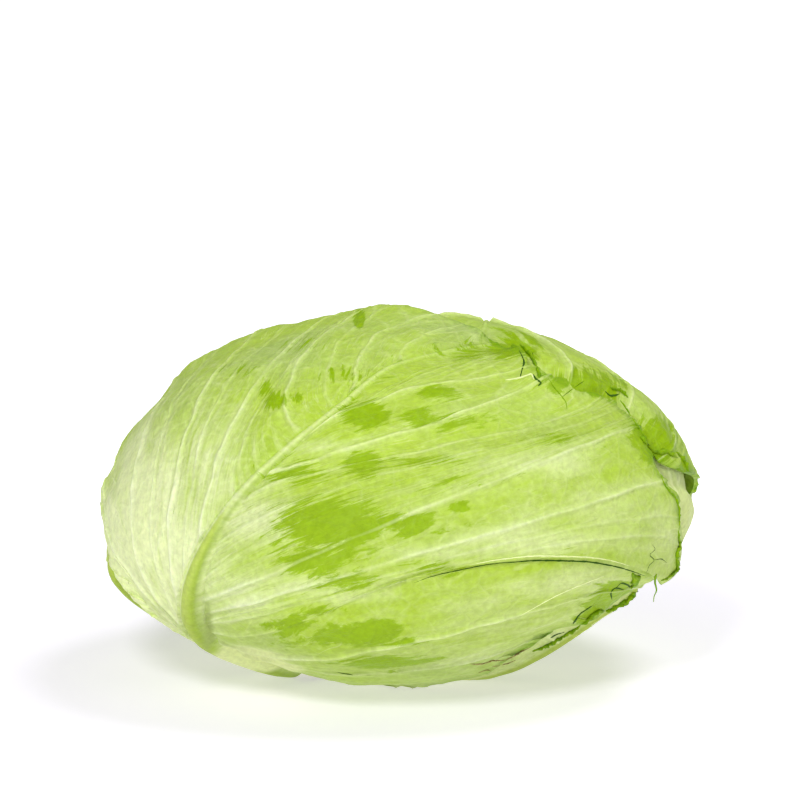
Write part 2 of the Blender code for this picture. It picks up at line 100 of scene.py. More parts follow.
# Front leaf: the midrib from the stem to the tip, in degrees east and north
FRONT_MIDRIB = [
    (-36, -93), (-41, -80), (-47, -68), (-50, -58), (-49, -48), (-46, -35), (-40, -17), (-32, 0),
    (-22, 15), (-11, 31), (-2, 45), (9, 52), (23.5, 59.4),
]

# Front leaf: its margin, as direction from the chart's middle and distance, in degrees
FRONT_MARGIN = [
    (-103, 100), (-97, 96), (-90, 90), (-84, 88), (-76, 84), (-69, 77), (-61, 71), (-54, 69),
    (-46, 69), (-39, 72), (-33, 72), (-27, 77), (-21, 83), (-14, 77), (-7, 71), (0, 68), (5, 64),
    (15, 61), (26, 62), (36, 63), (41, 58), (44, 53), (48, 54), (52, 52), (57, 53), (62, 61),
    (68, 64), (76, 70), (80, 74), (90, 80), (100, 87), (110, 92), (125, 95), (140, 96), (155, 95),
    (165, 91), (172, 87), (181, 83), (192, 81), (202, 78), (212, 77), (218, 79.5), (222, 82.5),
    (225, 86), (228, 90), (232, 94), (236, 98), (240, 101), (243, 106),
]

# Front leaf: side veins and the lines between them. Each has its place along the midrib, two
# points that it passes a third and two thirds of the way out, and its end's direction. A vein
# of strength 0 is a line only.
FRONT_LOWER_RIGHT = [
    (0.000, (-27.2, -93.2), (-24.8, -95.4), -103, 0.0),
    (0.080, (-24, -84.5), (-7, -86.5), -84, 0.5),
    (0.120, (-21, -75), (6, -76), -69, 0.0),
    (0.163, (-17, -66), (14, -62), -54, 0.8),
    (0.190, (-17, -60.5), (19, -49), -42, 0.0),
    (0.224, (-17, -55), (22, -39), -29, 1.0),
    (0.260, (-17, -36.4), (19.5, -15.6), -20, 0.5),
]
FRONT_UPPER_RIGHT = [
    (0.268, (-16.8, -34.4), (20.0, -17.2), -25.8, 0.0),
    (0.279, (-12.4, -28.6), (29.6, -13.0), -14, 0.5),
    (0.290, (-9, -25.0), (31, -9), -6, 0.5),
    (0.305, (-10.5, -22), (29, -4), 7, 1.0),
    (0.338, (-10, -11.5), (24, 10), 26, 1.0),
    (0.395, (-12, -3), (22, 14), 30, 0.4),
    (0.463, (-7, 6.5), (22, 18), 34, 0.5),
    (0.560, (-5, 12.5), (24, 23), 39, 0.6),
    (0.600, (-8, 16.5), (11, 27), 52, 1.0),
    (0.680, (-3.5, 33), (12, 40), 58, 0.8),
    (0.800, (5, 43), (18, 50), 62.5, 0.0),
    (1.000, (24.3, 58.5), (25.3, 57.6), 65, 0.0),
]
FRONT_LEFT = [
    (0.000, (-44, -93.4), (-46, -93.8), 243, 0.0),
    (0.080, (-51, -79), (-54.5, -76.5), 232, 0.0),
    (0.163, (-55.6, -63.2), (-58, -58.7), 222, 0.0),
    (0.185, (-57.2, -56.4), (-60, -49.7), 214, 0.0),
    (0.205, (-58.2, -49.5), (-63.8, -38.3), 200, 0.0),
    (0.214, (-59.6, -44), (-68.8, -27), 190, 0.0),
    (0.224, (-60.2, -38.5), (-73, -16), 175, 0.7),
    (0.260, (-59.5, -17), (-63, 23), 140, 0.75),
    (0.285, (-53.5, -7), (-54, 33), 129, 0.35),
    (0.338, (-47, 3), (-43.5, 41), 117, 0.75),
    (0.395, (-41.5, 10), (-37, 47), 109, 0.35),
    (0.463, (-34.8, 18), (-27, 53), 101, 0.75),
    (0.560, (-29.5, 24), (-23, 52), 98.5, 0.25),
    (0.680, (-23, 39), (-18, 61), 95.5, 0.7),
    (0.735, (-15, 43), (-12, 62), 91.5, 0.4),
    (0.775, (-8.5, 47), (-4, 62), 82, 0.6),
    (0.860, (2, 54), (8, 62), 76.5, 0.5),
    (1.000, (22.6, 60.5), (21.8, 61.6), 71.5, 0.0),
]

# The tear: the places along the midrib of its two edges, where its lift ends, and where it starts
# on the way out. Then how far its upper edge lifts, in metres, and how soon.
LOWER_ROW = FRONT_LOWER_RIGHT[-1][0]
UPPER_ROW = FRONT_UPPER_RIGHT[0][0]
FRONT_TEAR_TOP = 0.305
FRONT_TEAR_START = 0.50
TEAR_LIFT, TEAR_CURVE = 0.0036, 0.55

# Midrib: half width in degrees and height in metres, at places along its length
MIDRIB_PLACES = (0.0, 0.16, 0.34, 0.50, 0.65, 0.80, 1.0)
MIDRIB_HALF_WIDTH = (5.4, 4.2, 2.6, 1.5, 1.1, 0.8, 0.5)
MIDRIB_HEIGHT = (0.0040, 0.0042, 0.0034, 0.0022, 0.0012, 0.0007, 0.0003)

# The other leaves: how far up from the stem their charts face, where each midrib leaves the
# stem, seen from above, and their margins
CHART_ANGLE = 95.0
BACK_AZIMUTH = 84.0
RIGHT_AZIMUTH = 344.0
LEFT_AZIMUTH = 188.0
INNER_AZIMUTH = 34.0
BACK_MARGIN = [
    (-96, 86), (-84, 86), (-70, 84), (-50, 84), (-30, 88), (-10, 92), (10, 92), (30, 90), (50, 88),
    (70, 91), (90, 98), (100, 107), (112, 112), (122, 106), (131, 101), (141, 101), (147, 98),
    (151, 92), (155, 86), (161, 78), (170, 72), (183, 69), (200, 69), (225, 74), (250, 84),
    (264, 86), (276, 86),
]
SIDE_MARGIN = [
    (-96, 86), (-82, 85), (-60, 76), (-30, 70), (0, 70), (30, 72), (60, 74), (90, 76), (120, 74),
    (150, 72), (180, 70), (210, 70), (240, 76), (262, 85), (276, 86),
]

# Their paired veins: how many, from where to where, how strong, and how they turn and sag
BACK_VEIN_PAIRS = 7
RIGHT_VEIN_PAIRS = 5
LEFT_VEIN_PAIRS = 5
INNER_VEIN_PAIRS = 3
FIRST_PAIR = 0.10
LAST_PAIR = 0.84
PAIR_STRENGTH = 0.9
BASE_CORNER = -78.0
MARGIN_TURN = 160.0
VEIN_RISE = 0.62
VEIN_SAG = 0.055
SAG_FADE = 0.4

# Fine mesh: cells in a block, the block's sides as a first corner and the steps down and over
# along it, the gaps between rows and between columns, in metres, and the columns on a midrib
BLOCK = 4
BLOCK_SIDES = (((0, 0), (0, 1)), ((0, 1), (1, 0)), ((1, 1), (0, -1)), ((1, 0), (-1, 0)))
FRONT_GAPS = (0.00172, 0.00160)
BACK_GAPS = (0.00180, 0.00190)
SIDE_GAPS = (0.00190, 0.00210)
INNER_GAPS = (0.0045, 0.0045)
RIB_COLUMNS = 12
CLOSER_AT_MARGIN = 0.12

# Closer rows along the side veins: how many more, and how far from a vein, in metres
CREST_ROWS = 1.9
CREST_REACH = 0.0026

# Side veins, in metres by the midrib, and the share of that at the margin
VEIN_WIDTH = 0.0013
VEIN_HEIGHT = 0.0019
VEIN_END = 0.58
VEIN_WANDER = 0.0006

# The pale glow beside a side vein: how strong, and how many times wider than the vein
GLOW = 0.34
GLOW_REACH = 3.4

# Their branches: gap as a share of the way out, least length, slant, width and height
BRANCH_GAP = 0.10
BRANCH_LEAST = 0.006
BRANCH_LEAN = 0.72
BRANCH_WIDTH = 0.0007
BRANCH_HEIGHT = 0.00045
BRANCH_PALENESS = 0.30

# Swellings of the blade: height in metres, and how fine their noise is
QUILT, SWELLING_SCALE = 0.0009, 60.0
PILLOW, PILLOW_SCALE = 0.0012, 38.0
CRUMPLE, CRUMPLE_SCALE, CRUMPLE_STRETCH = 0.0003, 85.0, (1, 1, 1.4)

# Beside the midrib, in its half widths and heights: the channel on its right, the skirt on its left
CHANNEL_PLACE, CHANNEL_WIDTH, CHANNEL_DEPTH = 0.30, 0.35, 0.32
RIB_SKIRT, SKIRT_HEIGHT = 0.7, 0.30

# Metres along the head to a degree on a chart
METRES_A_DEGREE = 0.0018

# The view of the photograph: the head's middle and half size there in pixels, metres to a pixel,
# and the camera's elevation in degrees, distance in metres and sensor in millimetres
SEEN_MIDDLE = (398.0, 498.5)
SEEN_HALF = (296.5, 187.5)
METRES_A_PIXEL = 0.110 / 296.5
CAMERA_ELEVATION = 11.0
CAMERA_DISTANCE = 2.2
SENSOR = 36.0

# The dark band along a margin, in degrees
EDGE_BAND = 4.5

# Spots on the leaves, in pixels of that view: x, y, half width, half height, strength
SPOT_FALL = 0.8
BRIGHT_PATCHES = [
    (335, 518, 52, 24, 1.2), (318, 552, 34, 15, 1.0), (366, 413, 24, 14, 1.1),
    (436, 391, 24, 8, 0.9), (418, 415, 20, 9, 0.9), (412, 519, 38, 11, 1.0),
    (364, 462, 20, 14, 0.9), (420, 458, 50, 8, 0.6), (279, 400, 9, 9, 1.3), (270, 388, 7, 8, 0.9),
    (300, 398, 7, 6, 0.9), (360, 322, 5, 8, 1.3), (345, 572, 34, 12, 0.85), (360, 626, 52, 12, 1.1),
    (382, 656, 42, 9, 1.0), (296, 617, 30, 11, 0.8), (300, 640, 20, 9, 0.6),
    (510, 346, 28, 13, 1.1), (470, 352, 30, 11, 0.65), (545, 436, 26, 9, 0.6),
    (430, 560, 50, 12, 0.5), (330, 602, 34, 7, 0.6), (458, 503, 14, 5, 0.7),
    (618, 594, 26, 16, 1.2), (598, 612, 22, 14, 1.0), (300, 345, 34, 10, 0.5),
    (240, 372, 20, 10, 0.45), (560, 545, 30, 6, 0.4), (470, 420, 60, 12, 0.55),
    (583, 384, 40, 14, 1.1), (650, 440, 30, 22, 1.1), (300, 470, 30, 14, 0.75),
    (683, 470, 8, 20, 1.0), (450, 480, 60, 10, 0.5), (350, 375, 50, 10, 0.45),
]
PALE_PLACES = [
    (470, 655, 46, 8, 0.4), (352, 590, 70, 6, 0.5), (440, 545, 60, 6, 0.5), (330, 445, 36, 8, 0.5),
    (150, 520, 56, 100, 1.2), (190, 560, 44, 80, 1.1), (215, 470, 36, 60, 0.75),
    (262, 515, 42, 24, 1.1), (290, 578, 64, 12, 0.7), (250, 590, 34, 22, 0.85),
    (580, 505, 110, 44, 0.42), (540, 462, 70, 14, 0.8), (570, 400, 34, 12, 0.35),
    (500, 605, 100, 20, 0.3), (580, 575, 70, 18, 0.6), (140, 440, 34, 34, 0.6),
    (520, 535, 60, 18, 0.85), (430, 650, 70, 8, 0.35), (235, 430, 24, 34, 0.4),
    (240, 655, 44, 14, 1.1), (200, 640, 16, 20, 0.9), (660, 520, 30, 50, 0.5),
]
# The grey spot at 213, 622 is painted shade in the groove beside the midrib
GREY_PLACES = [
    (300, 350, 110, 26, 0.9), (420, 335, 120, 18, 1.0), (180, 400, 40, 30, 0.5),
    (300, 640, 60, 16, 0.8), (420, 668, 120, 12, 0.9), (213, 622, 12, 26, 1.0),
    (440, 405, 60, 20, 0.5), (560, 420, 60, 16, 0.4), (640, 420, 40, 30, 0.5),
]
SPOTS = {"bright": BRIGHT_PATCHES, "pale": PALE_PLACES, "grey": GREY_PLACES}

# On the front leaf only: the heel of the midrib, and painted shade in the groove beside it
FRONT_SPOTS = {
    "heel": [(240, 656, 44, 12, 1.5), (278, 666, 26, 8, 1.4)],
    "furrow_shade": [(215, 618, 5, 24, 1.1)],
}

# Marks laid on the leaves: the half width and the points of each line, in pixels of that view:
# dark lines of painted shadow and shade, brown dry edges, green torn rims and pale lips
# Painted shadow along the tear and under curled edges, and painted shade in slits, holes and
# notches
DARK_MARKS = [
    (0.5, [(414, 583), (430, 577), (460, 570), (492, 564), (524, 561)]),
    (0.85, [(505, 563), (540, 560.5), (583, 561.5), (608, 565), (628, 570), (645, 576)]),
    (0.8, [(519, 350), (522, 356), (524, 362), (522, 370), (520, 378)]),
    (1.1, [(533, 374), (536, 379), (541, 383), (538, 386)]),
    (1.3, [(605, 391), (611, 396), (619, 394)]),
    (1.5, [(646, 441), (652, 449), (662, 453), (672, 452)]), (1.4, [(669, 452), (672, 456)]),
    (0.45, [(652, 544), (655, 549), (650, 555), (654, 560), (649, 566), (647, 572)]),
    (0.4, [(654, 560), (661, 559), (667, 563)]),
    (1.0, [(612, 600), (611, 593), (616, 588), (624, 590)]),
    (1.1, [(616, 588), (622, 583), (630, 588), (627, 594)]),
    (1.6, [(573, 624), (580, 614), (592, 606)]), (1.2, [(550, 638), (558, 634), (565, 632)]),
    (0.6, [(336, 672), (347, 674), (353, 675)]), (0.5, [(365, 675), (372, 675)]),
]
BROWN_MARKS = [
    (1.2, [(470, 664), (480, 664), (492, 661), (505, 660)]),
    (1.3, [(505, 660), (514, 656), (522, 651), (534, 646)]),
    (0.8, [(478, 673), (487, 670), (494, 672)]), (0.7, [(492, 667), (506, 664), (516, 660)]),
]
GREEN_MARKS = [
    (4.4, [(632, 573), (636, 581), (631, 589), (634, 597), (626, 603), (616, 606)]),
    (3.0, [(620, 605), (606, 611), (596, 612), (588, 620), (574, 629), (563, 636)]),
    (2.0, [(568, 633), (556, 640), (544, 646), (532, 651)]),
    (2.0, [(678, 530), (679, 545), (676, 555), (677, 566), (668, 577), (658, 582)]),
    (0.9, [(659, 470), (665, 486), (676, 500), (679, 512), (679, 530)]),
    (2.6, [(640, 436), (648, 446), (656, 452), (666, 452), (678, 458)]),
    (2.0, [(676, 452), (684, 462), (688, 472)]), (1.6, [(610, 388), (620, 391), (628, 398)]),
    (2.2, [(520, 345), (531, 356), (536, 366), (540, 378)]),
    (0.45, [(562, 397), (571, 390), (584, 381)]),
    (0.45, [(548, 378), (553, 386), (562, 397), (566, 403), (567, 410)]),
    (0.7, [(620, 400), (628, 412), (637, 426), (646, 440)]),
]
PALE_MARKS = [
    (0.7, [(470, 565), (500, 559.5), (540, 556), (583, 557), (608, 560), (630, 566)]),
    (1.2, [(505, 380), (514, 379), (523, 377), (531, 374), (534, 380)]),
    (0.8, [(520, 616), (560, 594), (604, 576)]),
    (0.8, [(650, 582), (636, 600), (612, 613), (580, 634)]),
]

# The thread that hangs from the torn corner
THREAD_HALF_WIDTH = 1.3
THREAD = [(656, 574), (655, 582), (656.5, 590), (654, 597), (653.5, 602)]

# The strips of the marks: pixels from ring to ring, the shares of the half width in a ring, how
# deep its last point lies and what counts as a jump, in metres, and the fewest rings
MARK_STEP = 1.2
MARK_SHARES = (-1.0, -0.5, 0.0, 0.5, 1.0)
MARK_SINK = 0.0005
MARK_JUMP = 0.004
MARK_LEAST = 5

# How each kind of mark stands up, in metres, how uneven its sides are, and the half width in
# pixels from which it stands up fully
FULL_RISE_WIDTH = 1.6
DARK_RISE, DARK_UNEVEN = 0.00022, 0.35
BROWN_RISE, BROWN_UNEVEN = 0.0003, 0.6
GREEN_RISE, GREEN_UNEVEN = 0.0010, 0.6
PALE_RISE, PALE_UNEVEN = 0.0004, 0.35

# Colours, linear
PALE = (0.79, 0.87, 0.45)
MID = (0.43, 0.615, 0.025)
BRIGHT = (0.27, 0.445, 0.0)
GREY_GREEN = (0.405, 0.545, 0.13)
BACK_PALE = (0.58, 0.72, 0.22)
PALE_YELLOW = (0.74, 0.84, 0.33)
LEFT_GREEN = (0.56, 0.70, 0.12)
HEEL = (0.74, 0.82, 0.37)
# Painted shade for the groove beside the midrib's base
FURROW_SHADE = (0.38, 0.48, 0.13)
VEIN = (0.84, 0.93, 0.46)
WHITE_VEIN = (0.88, 0.93, 0.66)
RIB = (0.45, 0.58, 0.08)
RIB_SHADE = (0.33, 0.47, 0.045)
EDGE_GREEN = (0.16, 0.33, 0.002)
# Painted shadow: the dark lines along the tear, under curled edges and in slits and holes
PAINTED_SHADOW = (0.030, 0.10, 0.004)
PAINTED_SHADOW_PALER = (0.05, 0.13, 0.004)
BROWN = (0.16, 0.085, 0.02)
STRAW = (0.40, 0.34, 0.12)
HEART = (0.74, 0.82, 0.42)
CREAM = (0.80, 0.80, 0.52)
STEM_BROWN = (0.62, 0.60, 0.30)
FLOOR = (0.70, 0.665, 0.78)
VEIN_PALENESS = 0.8

# The floor and its own light, which grows from near the head to far from it, and the lights:
# the place that they are turned to, and each one's name, place, size and power
FLOOR_HALF = 30
FLOOR_NEAR, FLOOR_FAR = 0.12, 0.40
FLOOR_GLOW = (0.46, 0.85)
WORLD_STRENGTH = 0.24
LIT_PLACE = Vector((0, 0, 0.06))
LIGHTS = (("key", (-0.38, -1.45, 1.15), 0.45, 19.5), ("top", (0.62, 0.10, 1.5), 0.7, 12.0))


def unit(vectors):
    vectors = np.asarray(vectors, float)
    return vectors / np.linalg.norm(vectors, axis=-1, keepdims=True)


def smooth_step(value):
    value = np.clip(value, 0.0, 1.0)
    return value * value * (3.0 - 2.0 * value)


def bell(value, width):
    """1 at 0, falling to almost nothing two widths away."""
    return np.exp(-((value / width) ** 2))


def fading(places, start, length):
    """1 up to a place along the midrib, then falling to 0: one value for each row."""
    return (1 - smooth_step((places - start) / length))[:, None]


def through(x, xs, ys):
    """A smooth curve through the points (xs, ys) that doesn't overshoot between them."""
    xs = np.asarray(xs, float)
    ys = np.asarray(ys, float)
    slopes = np.diff(ys) / np.diff(xs)
    before, after = slopes[:-1], slopes[1:]
    same_way = before * after > 0
    mean = np.where(same_way, 2 * before * after / np.where(same_way, before + after, 1), 0)
    tangents = np.concatenate([slopes[:1], mean, slopes[-1:]])
    x = np.clip(x, xs[0], xs[-1])
    place = np.clip(np.searchsorted(xs, x, side="right") - 1, 0, len(xs) - 2)
    span = xs[place + 1] - xs[place]
    t = (x - xs[place]) / span
    rise = (3 - 2 * t) * t * t
    turn = span * t * (1 - t) * (tangents[place] * (1 - t) - tangents[place + 1] * t)
    return ys[place] * (1 - rise) + ys[place + 1] * rise + turn


def line_through(x, xs, points):
    """The same curve through points of two coordinates."""
    points = np.asarray(points, float)
    return np.stack([through(x, xs, points[:, axis]) for axis in (0, 1)], -1)


def compass(angle):
    """East and north of a direction on a chart."""
    return np.stack([np.cos(np.radians(angle)), np.sin(np.radians(angle))], -1)


def waves(angle, parts):
    """A sum of sine waves round a leaf. Each part has its count of turns, start and height."""
    return sum(height * np.sin(np.radians(turns * angle + start)) for turns, start, height in parts)


class Chart:
    """A flat map of the head about one direction: angles from it are true to scale."""

    def __init__(self, facing, up):
        self.facing = unit(facing)
        up = np.asarray(up, float)
        self.north = unit(up - np.dot(up, self.facing) * self.facing)
        self.east = np.cross(self.north, self.facing)

    def direction(self, grid):
        east, north = grid[..., 0], grid[..., 1]
        distance = np.radians(np.hypot(east, north))[..., None]
        angle = np.arctan2(north, east)[..., None]
        sideways = np.cos(angle) * self.east + np.sin(angle) * self.north
        return np.cos(distance) * self.facing + np.sin(distance) * sideways

    def polar(self, directions):
        """(angle from the chart's east, distance from its middle), both in degrees."""
        distance = np.degrees(np.arccos(np.clip(directions @ self.facing, -1.0, 1.0)))
        angle = np.degrees(np.arctan2(directions @ self.north, directions @ self.east))
        return angle, distance


def from_stem(azimuth, angle):
    """The direction that lies the given angle from the stem, in degrees."""
    stem = unit(STEM_DIRECTION)
    right = unit(np.array([1.0, 0.0, 0.0]) - stem[0] * stem)
    sideways = compass(azimuth) @ np.array([right, np.cross(-stem, right)])
    return compass(angle) @ np.array([stem, sideways])


def head_shape(directions):
    """How far the head reaches in each direction, as a fraction of the plain flattened ball."""
    x, y, z = directions[..., 0], directions[..., 1], directions[..., 2]
    lumps = np.sin(5.1 * x + 1.3) * np.cos(4.3 * y - 0.7) + np.sin(6.2 * z + 3.4 * x)
    shape = 1.0 + LUMP * lumps * smooth_step((z + 0.90) / 0.35)
    for direction, width, depth in PRESSES:
        apart = np.degrees(np.arccos(np.clip(directions @ unit(direction), -1.0, 1.0)))
        shape = shape - depth * bell(apart, width)
    return shape


def on_head(directions, height):
    """Points at a height above the head's surface, none below the ground or its own layer."""
    radii = np.array([HEAD_WIDTH, HEAD_DEPTH, HEAD_HEIGHT]) / 2
    points = HEAD_MIDDLE + directions * radii * head_shape(directions)[..., None]
    points = points + unit(directions / radii) * np.asarray(height)[..., None]
    points[..., 2] = np.maximum(points[..., 2], np.maximum(-height, 0.0))
    return points


def noise_at(points, scale, seed, octaves=3):
    """Smooth noise from about -1 to 1 at an array of points."""
    flat = (points.reshape(-1, 3) * scale + seed * 17.3).tolist()
    values = [noise.fractal(Vector(point), 1.0, 2.1, octaves) for point in flat]
    return np.array(values).reshape(points.shape[:-1])


class Leaf:
    """One leaf: its chart, midrib, margin, veins, and the leaves that lie over it."""

    def __init__(self, chart, midrib, margin, right, left, over, torn=False):
        self.chart, self.right, self.left, self.over, self.torn = chart, right, left, over, torn
        self.reach = COVER_REACH + REACH_STEP * len(over)
        self.margin = np.array(margin, float)
        self.midrib_points = np.array(midrib, float)
        lengths = np.hypot(*np.diff(self.midrib_points, axis=0).T)
        self.midrib_length = lengths.sum()
        self.midrib_places = np.concatenate([[0.0], np.cumsum(lengths)]) / lengths.sum()

    def margin_at(self, angle):
        """Distance of the margin from the chart's middle. Angles run on from the base."""
        start = self.margin[0, 0]
        angle = start + np.mod(np.asarray(angle, float) - start, 360.0)
        return through(angle, self.margin[:, 0], self.margin[:, 1])

    def ragged_margin_at(self, angle):
        """The margin with its bites and teeth."""
        teeth = np.abs(np.sin(np.radians(41 * angle + 60 * np.sin(np.radians(7 * angle)))))
        return self.margin_at(angle) + waves(angle, RAGGED_WAVES) - TOOTH_DEPTH * teeth ** 6

    def covers(self, directions, reach):
        """1 where this leaf lies over, falling to 0 a little outside its margin."""
        angle, distance = self.chart.polar(directions)
        outside = distance - self.margin_at(angle)
        return 1.0 - smooth_step((outside - reach) / COVER_FALL)

    def midrib_at(self, place):
        return line_through(place, self.midrib_places, self.midrib_points)

    def side(self, veins, places, feet, outward):
        """Chart points of a half blade: one row for each place, one column for each step out."""
        keys, firsts, seconds, turns, _ = zip(*veins)
        near, far = (line_through(places, keys, points) for points in (firsts, seconds))
        angle = through(places, keys, turns)
        end = self.ragged_margin_at(angle)[:, None] * compass(angle)
        w = np.asarray(outward)[None, :, None]
        feet, near, far, end = (points[:, None, :] for points in (feet, near, far, end))
        return (
            feet * (1 - w) * (1 - 3 * w) * (2 - 3 * w) / 2
            + near * 9 * w * (1 - w) * (2 - 3 * w) / 2
            + far * 9 * w * (1 - w) * (3 * w - 1) / 2
            + end * w * (3 * w - 1) * (3 * w - 2) / 2
        )


def round_leaf(azimuth, margin, over, pairs):
    """A leaf with paired veins whose chart faces the chart angle up from the stem."""
    chart = Chart(from_stem(azimuth, CHART_ANGLE), -unit(STEM_DIRECTION))
    tip = float(np.interp(90, *np.array(margin, float).T))
    base = LEAF_BASE_RADIUS - CHART_ANGLE
    midrib = [(0, base + (tip - base) * step / 6) for step in range(7)]
    leaf = Leaf(chart, midrib, margin, [], [], over)
    for side, veins in ((1, leaf.right), (-1, leaf.left)):
        for place in [0.0, *np.linspace(FIRST_PAIR, LAST_PAIR, pairs), 1.0]:
            bare = place in (0.0, 1.0)
            turn = BASE_CORNER + MARGIN_TURN * place ** VEIN_RISE
            turn = turn if side > 0 else 180 - turn
            half_width = through(place, MIDRIB_PLACES, MIDRIB_HALF_WIDTH)
            start = leaf.midrib_at(place) + np.array([side * half_width, 0.0])
            across = leaf.margin_at(turn) * compass(turn) - start
            sagging = smooth_step(place / SAG_FADE) * (not bare)
            sag = np.array([0.0, -VEIN_SAG * np.hypot(*across)]) * sagging
            near, far = (tuple(start + across * share / 3 + sag) for share in (1, 2))
            veins.append((place, near, far, turn, 0.0 if bare else PAIR_STRENGTH))
    return leaf


def chart_grid(leaf, places, steps_left, rib_steps, steps_right):
    """The leaf's chart points, row by row from the base."""
    fine = np.linspace(0, 1, 400)
    tangents = unit(np.gradient(leaf.midrib_at(fine), axis=0))
    east, north = unit(
        np.stack([np.interp(places, fine, tangents[:, axis]) for axis in (0, 1)], -1)
    ).T
    middle, across = leaf.midrib_at(places), np.stack([north, -east], -1)
    half_width = through(places, MIDRIB_PLACES, MIDRIB_HALF_WIDTH)
    ribs = [middle + across * (half_width * step)[:, None] for step in rib_steps]
    left = leaf.side(leaf.left, places, ribs[0], steps_left)
    if leaf.torn:
        below, above = np.minimum(places, LOWER_ROW), np.maximum(places, UPPER_ROW)
        lower = leaf.side(FRONT_LOWER_RIGHT, below, ribs[-1], steps_right)
        upper = leaf.side(FRONT_UPPER_RIGHT, above, ribs[-1], steps_right)
        share = smooth_step((places - LOWER_ROW) / (UPPER_ROW - LOWER_ROW))[:, None, None]
        right = lower * (1 - share) + upper * share
    else:
        right = leaf.side(leaf.right, places, ribs[-1], steps_right)
    return np.concatenate([left[:, ::-1], np.stack(ribs, 1), right], 1)


def wrapped(leaf, grid):
    """The directions of a leaf's chart points, and where they meet the head's own surface."""
    directions = leaf.chart.direction(grid)
    return directions, on_head(directions, np.zeros(grid.shape[:2]))


def rough_wrap(leaf, places, steps):
    """Where a leaf's chart points meet the head, with the fewest columns."""
    return wrapped(leaf, chart_grid(leaf, places, steps, [-1, 0, 1], steps))[1]


def in_blocks(length):
    return max(BLOCK, round(length / BLOCK) * BLOCK)


def spread_rows(leaf, gap):
    """Places along the midrib whose rows are nowhere further apart than the gap, in blocks."""
    fine = np.linspace(0, 1, 1601)
    points = rough_wrap(leaf, fine, np.array([0.33, 0.66, 1.0]))
    apart = np.linalg.norm(np.diff(points, axis=0), axis=-1)
    if leaf.torn:
        between = (fine[:-1] >= LOWER_ROW) & (fine[:-1] < UPPER_ROW)
        apart[between] = apart[between][:, :4].max(-1, keepdims=True)
    wide = np.sort(apart, axis=1)
    needed = 0.7 * wide[:, -1] + 0.3 * wide[:, -3]
    crests = [vein[0] for vein in leaf.right + leaf.left if vein[4] > 0]
    nearest = np.abs(fine[:-1, None] - crests).min(1) * (needed / (fine[1] - fine[0]))
    needed = needed * (1 + CREST_ROWS * np.exp(-((nearest / CREST_REACH) ** 4)))
    run = np.concatenate([[0.0], np.cumsum(needed)]) / gap

    def part(low, high):
        start, end = np.interp([low, high], fine, run)
        return np.interp(np.linspace(start, end, in_blocks(end - start) + 1), run, fine)

    if not leaf.torn:
        return part(0.0, 1.0), None
    first, second = part(0.0, LOWER_ROW), part(UPPER_ROW, 1.0)
    between = np.linspace(LOWER_ROW, UPPER_ROW, BLOCK + 1)
    return np.concatenate([first[:-1], between, second[1:]]), len(first) - 1


def step_lengths(points):
    """The lengths of the steps from column to column."""
    return np.linalg.norm(np.diff(points, axis=1), axis=-1)


class Weave:
    """The rows and columns of a leaf's fine mesh, and how they lie on the head."""

    def __init__(self, leaf, gaps):
        self.places, self.tear_row = spread_rows(leaf, gaps[0])
        rough = rough_wrap(leaf, np.linspace(0.02, 0.95, 40), np.array([1 / 3, 2 / 3, 1.0]))
        steps = []
        for side in (slice(0, 3), slice(-3, None)):
            count = in_blocks(np.percentile(step_lengths(rough)[:, side].sum(1), 80) / gaps[1])
            even = np.arange(1, count + 1) / count
            steps.append(even + CLOSER_AT_MARGIN * even * (1 - even))
        steps_left, self.steps_right = steps
        rib_steps = np.linspace(-1, 1, RIB_COLUMNS + 1)
        self.directions, self.ground = wrapped(
            leaf, chart_grid(leaf, self.places, steps_left, rib_steps, self.steps_right)
        )
        self.first_rib = len(steps_left)
        self.last_rib = self.first_rib + RIB_COLUMNS
        ribs = np.zeros(RIB_COLUMNS + 1)
        self.signed = np.concatenate([-steps_left[::-1], ribs, self.steps_right])
        self.rib = np.sign(self.signed)
        self.rib[self.first_rib:self.last_rib + 1] = rib_steps
        self.out = np.broadcast_to(np.abs(self.signed), self.ground.shape[:2])
        row_move = np.gradient(self.ground, self.places, axis=0)
        column_move = unit(np.gradient(self.ground, axis=1) + 1e-12)
        along = (row_move * column_move).sum(-1, keepdims=True) * column_move
        self.row_gap = np.linalg.norm(row_move - along, axis=-1)
        lengths = step_lengths(self.ground)
        self.half_lengths = lengths[:, :self.first_rib].sum(1), lengths[:, self.last_rib:].sum(1)
        on_left, on_right = (half[:, None] for half in self.half_lengths)
        self.side_lengths = np.where(self.signed < 0, on_left, on_right)
        self.angle, self.distance = leaf.chart.polar(self.directions)


def in_places(seen, places):
    """Soft oval spots, in pixels of the photograph's view."""
    result = np.zeros(seen.shape[:-1])
    for x, y, half_width, half_height, strength in places:
        apart = ((seen[..., 0] - x) / half_width) ** 2 + ((seen[..., 1] - y) / half_height) ** 2
        result = np.maximum(result, strength * np.exp(-SPOT_FALL * apart))
    return result


def wobble(values, draw, turns):
    """A smooth random wave from about -1 to 1."""
    total = np.zeros(np.shape(values))
    for faster, share in ((1.0, 0.5), (1.9, 0.3), (3.7, 0.2)):
        total = total + share * np.sin(2 * math.pi * turns * faster * values + draw.uniform(0, 7))
    return total


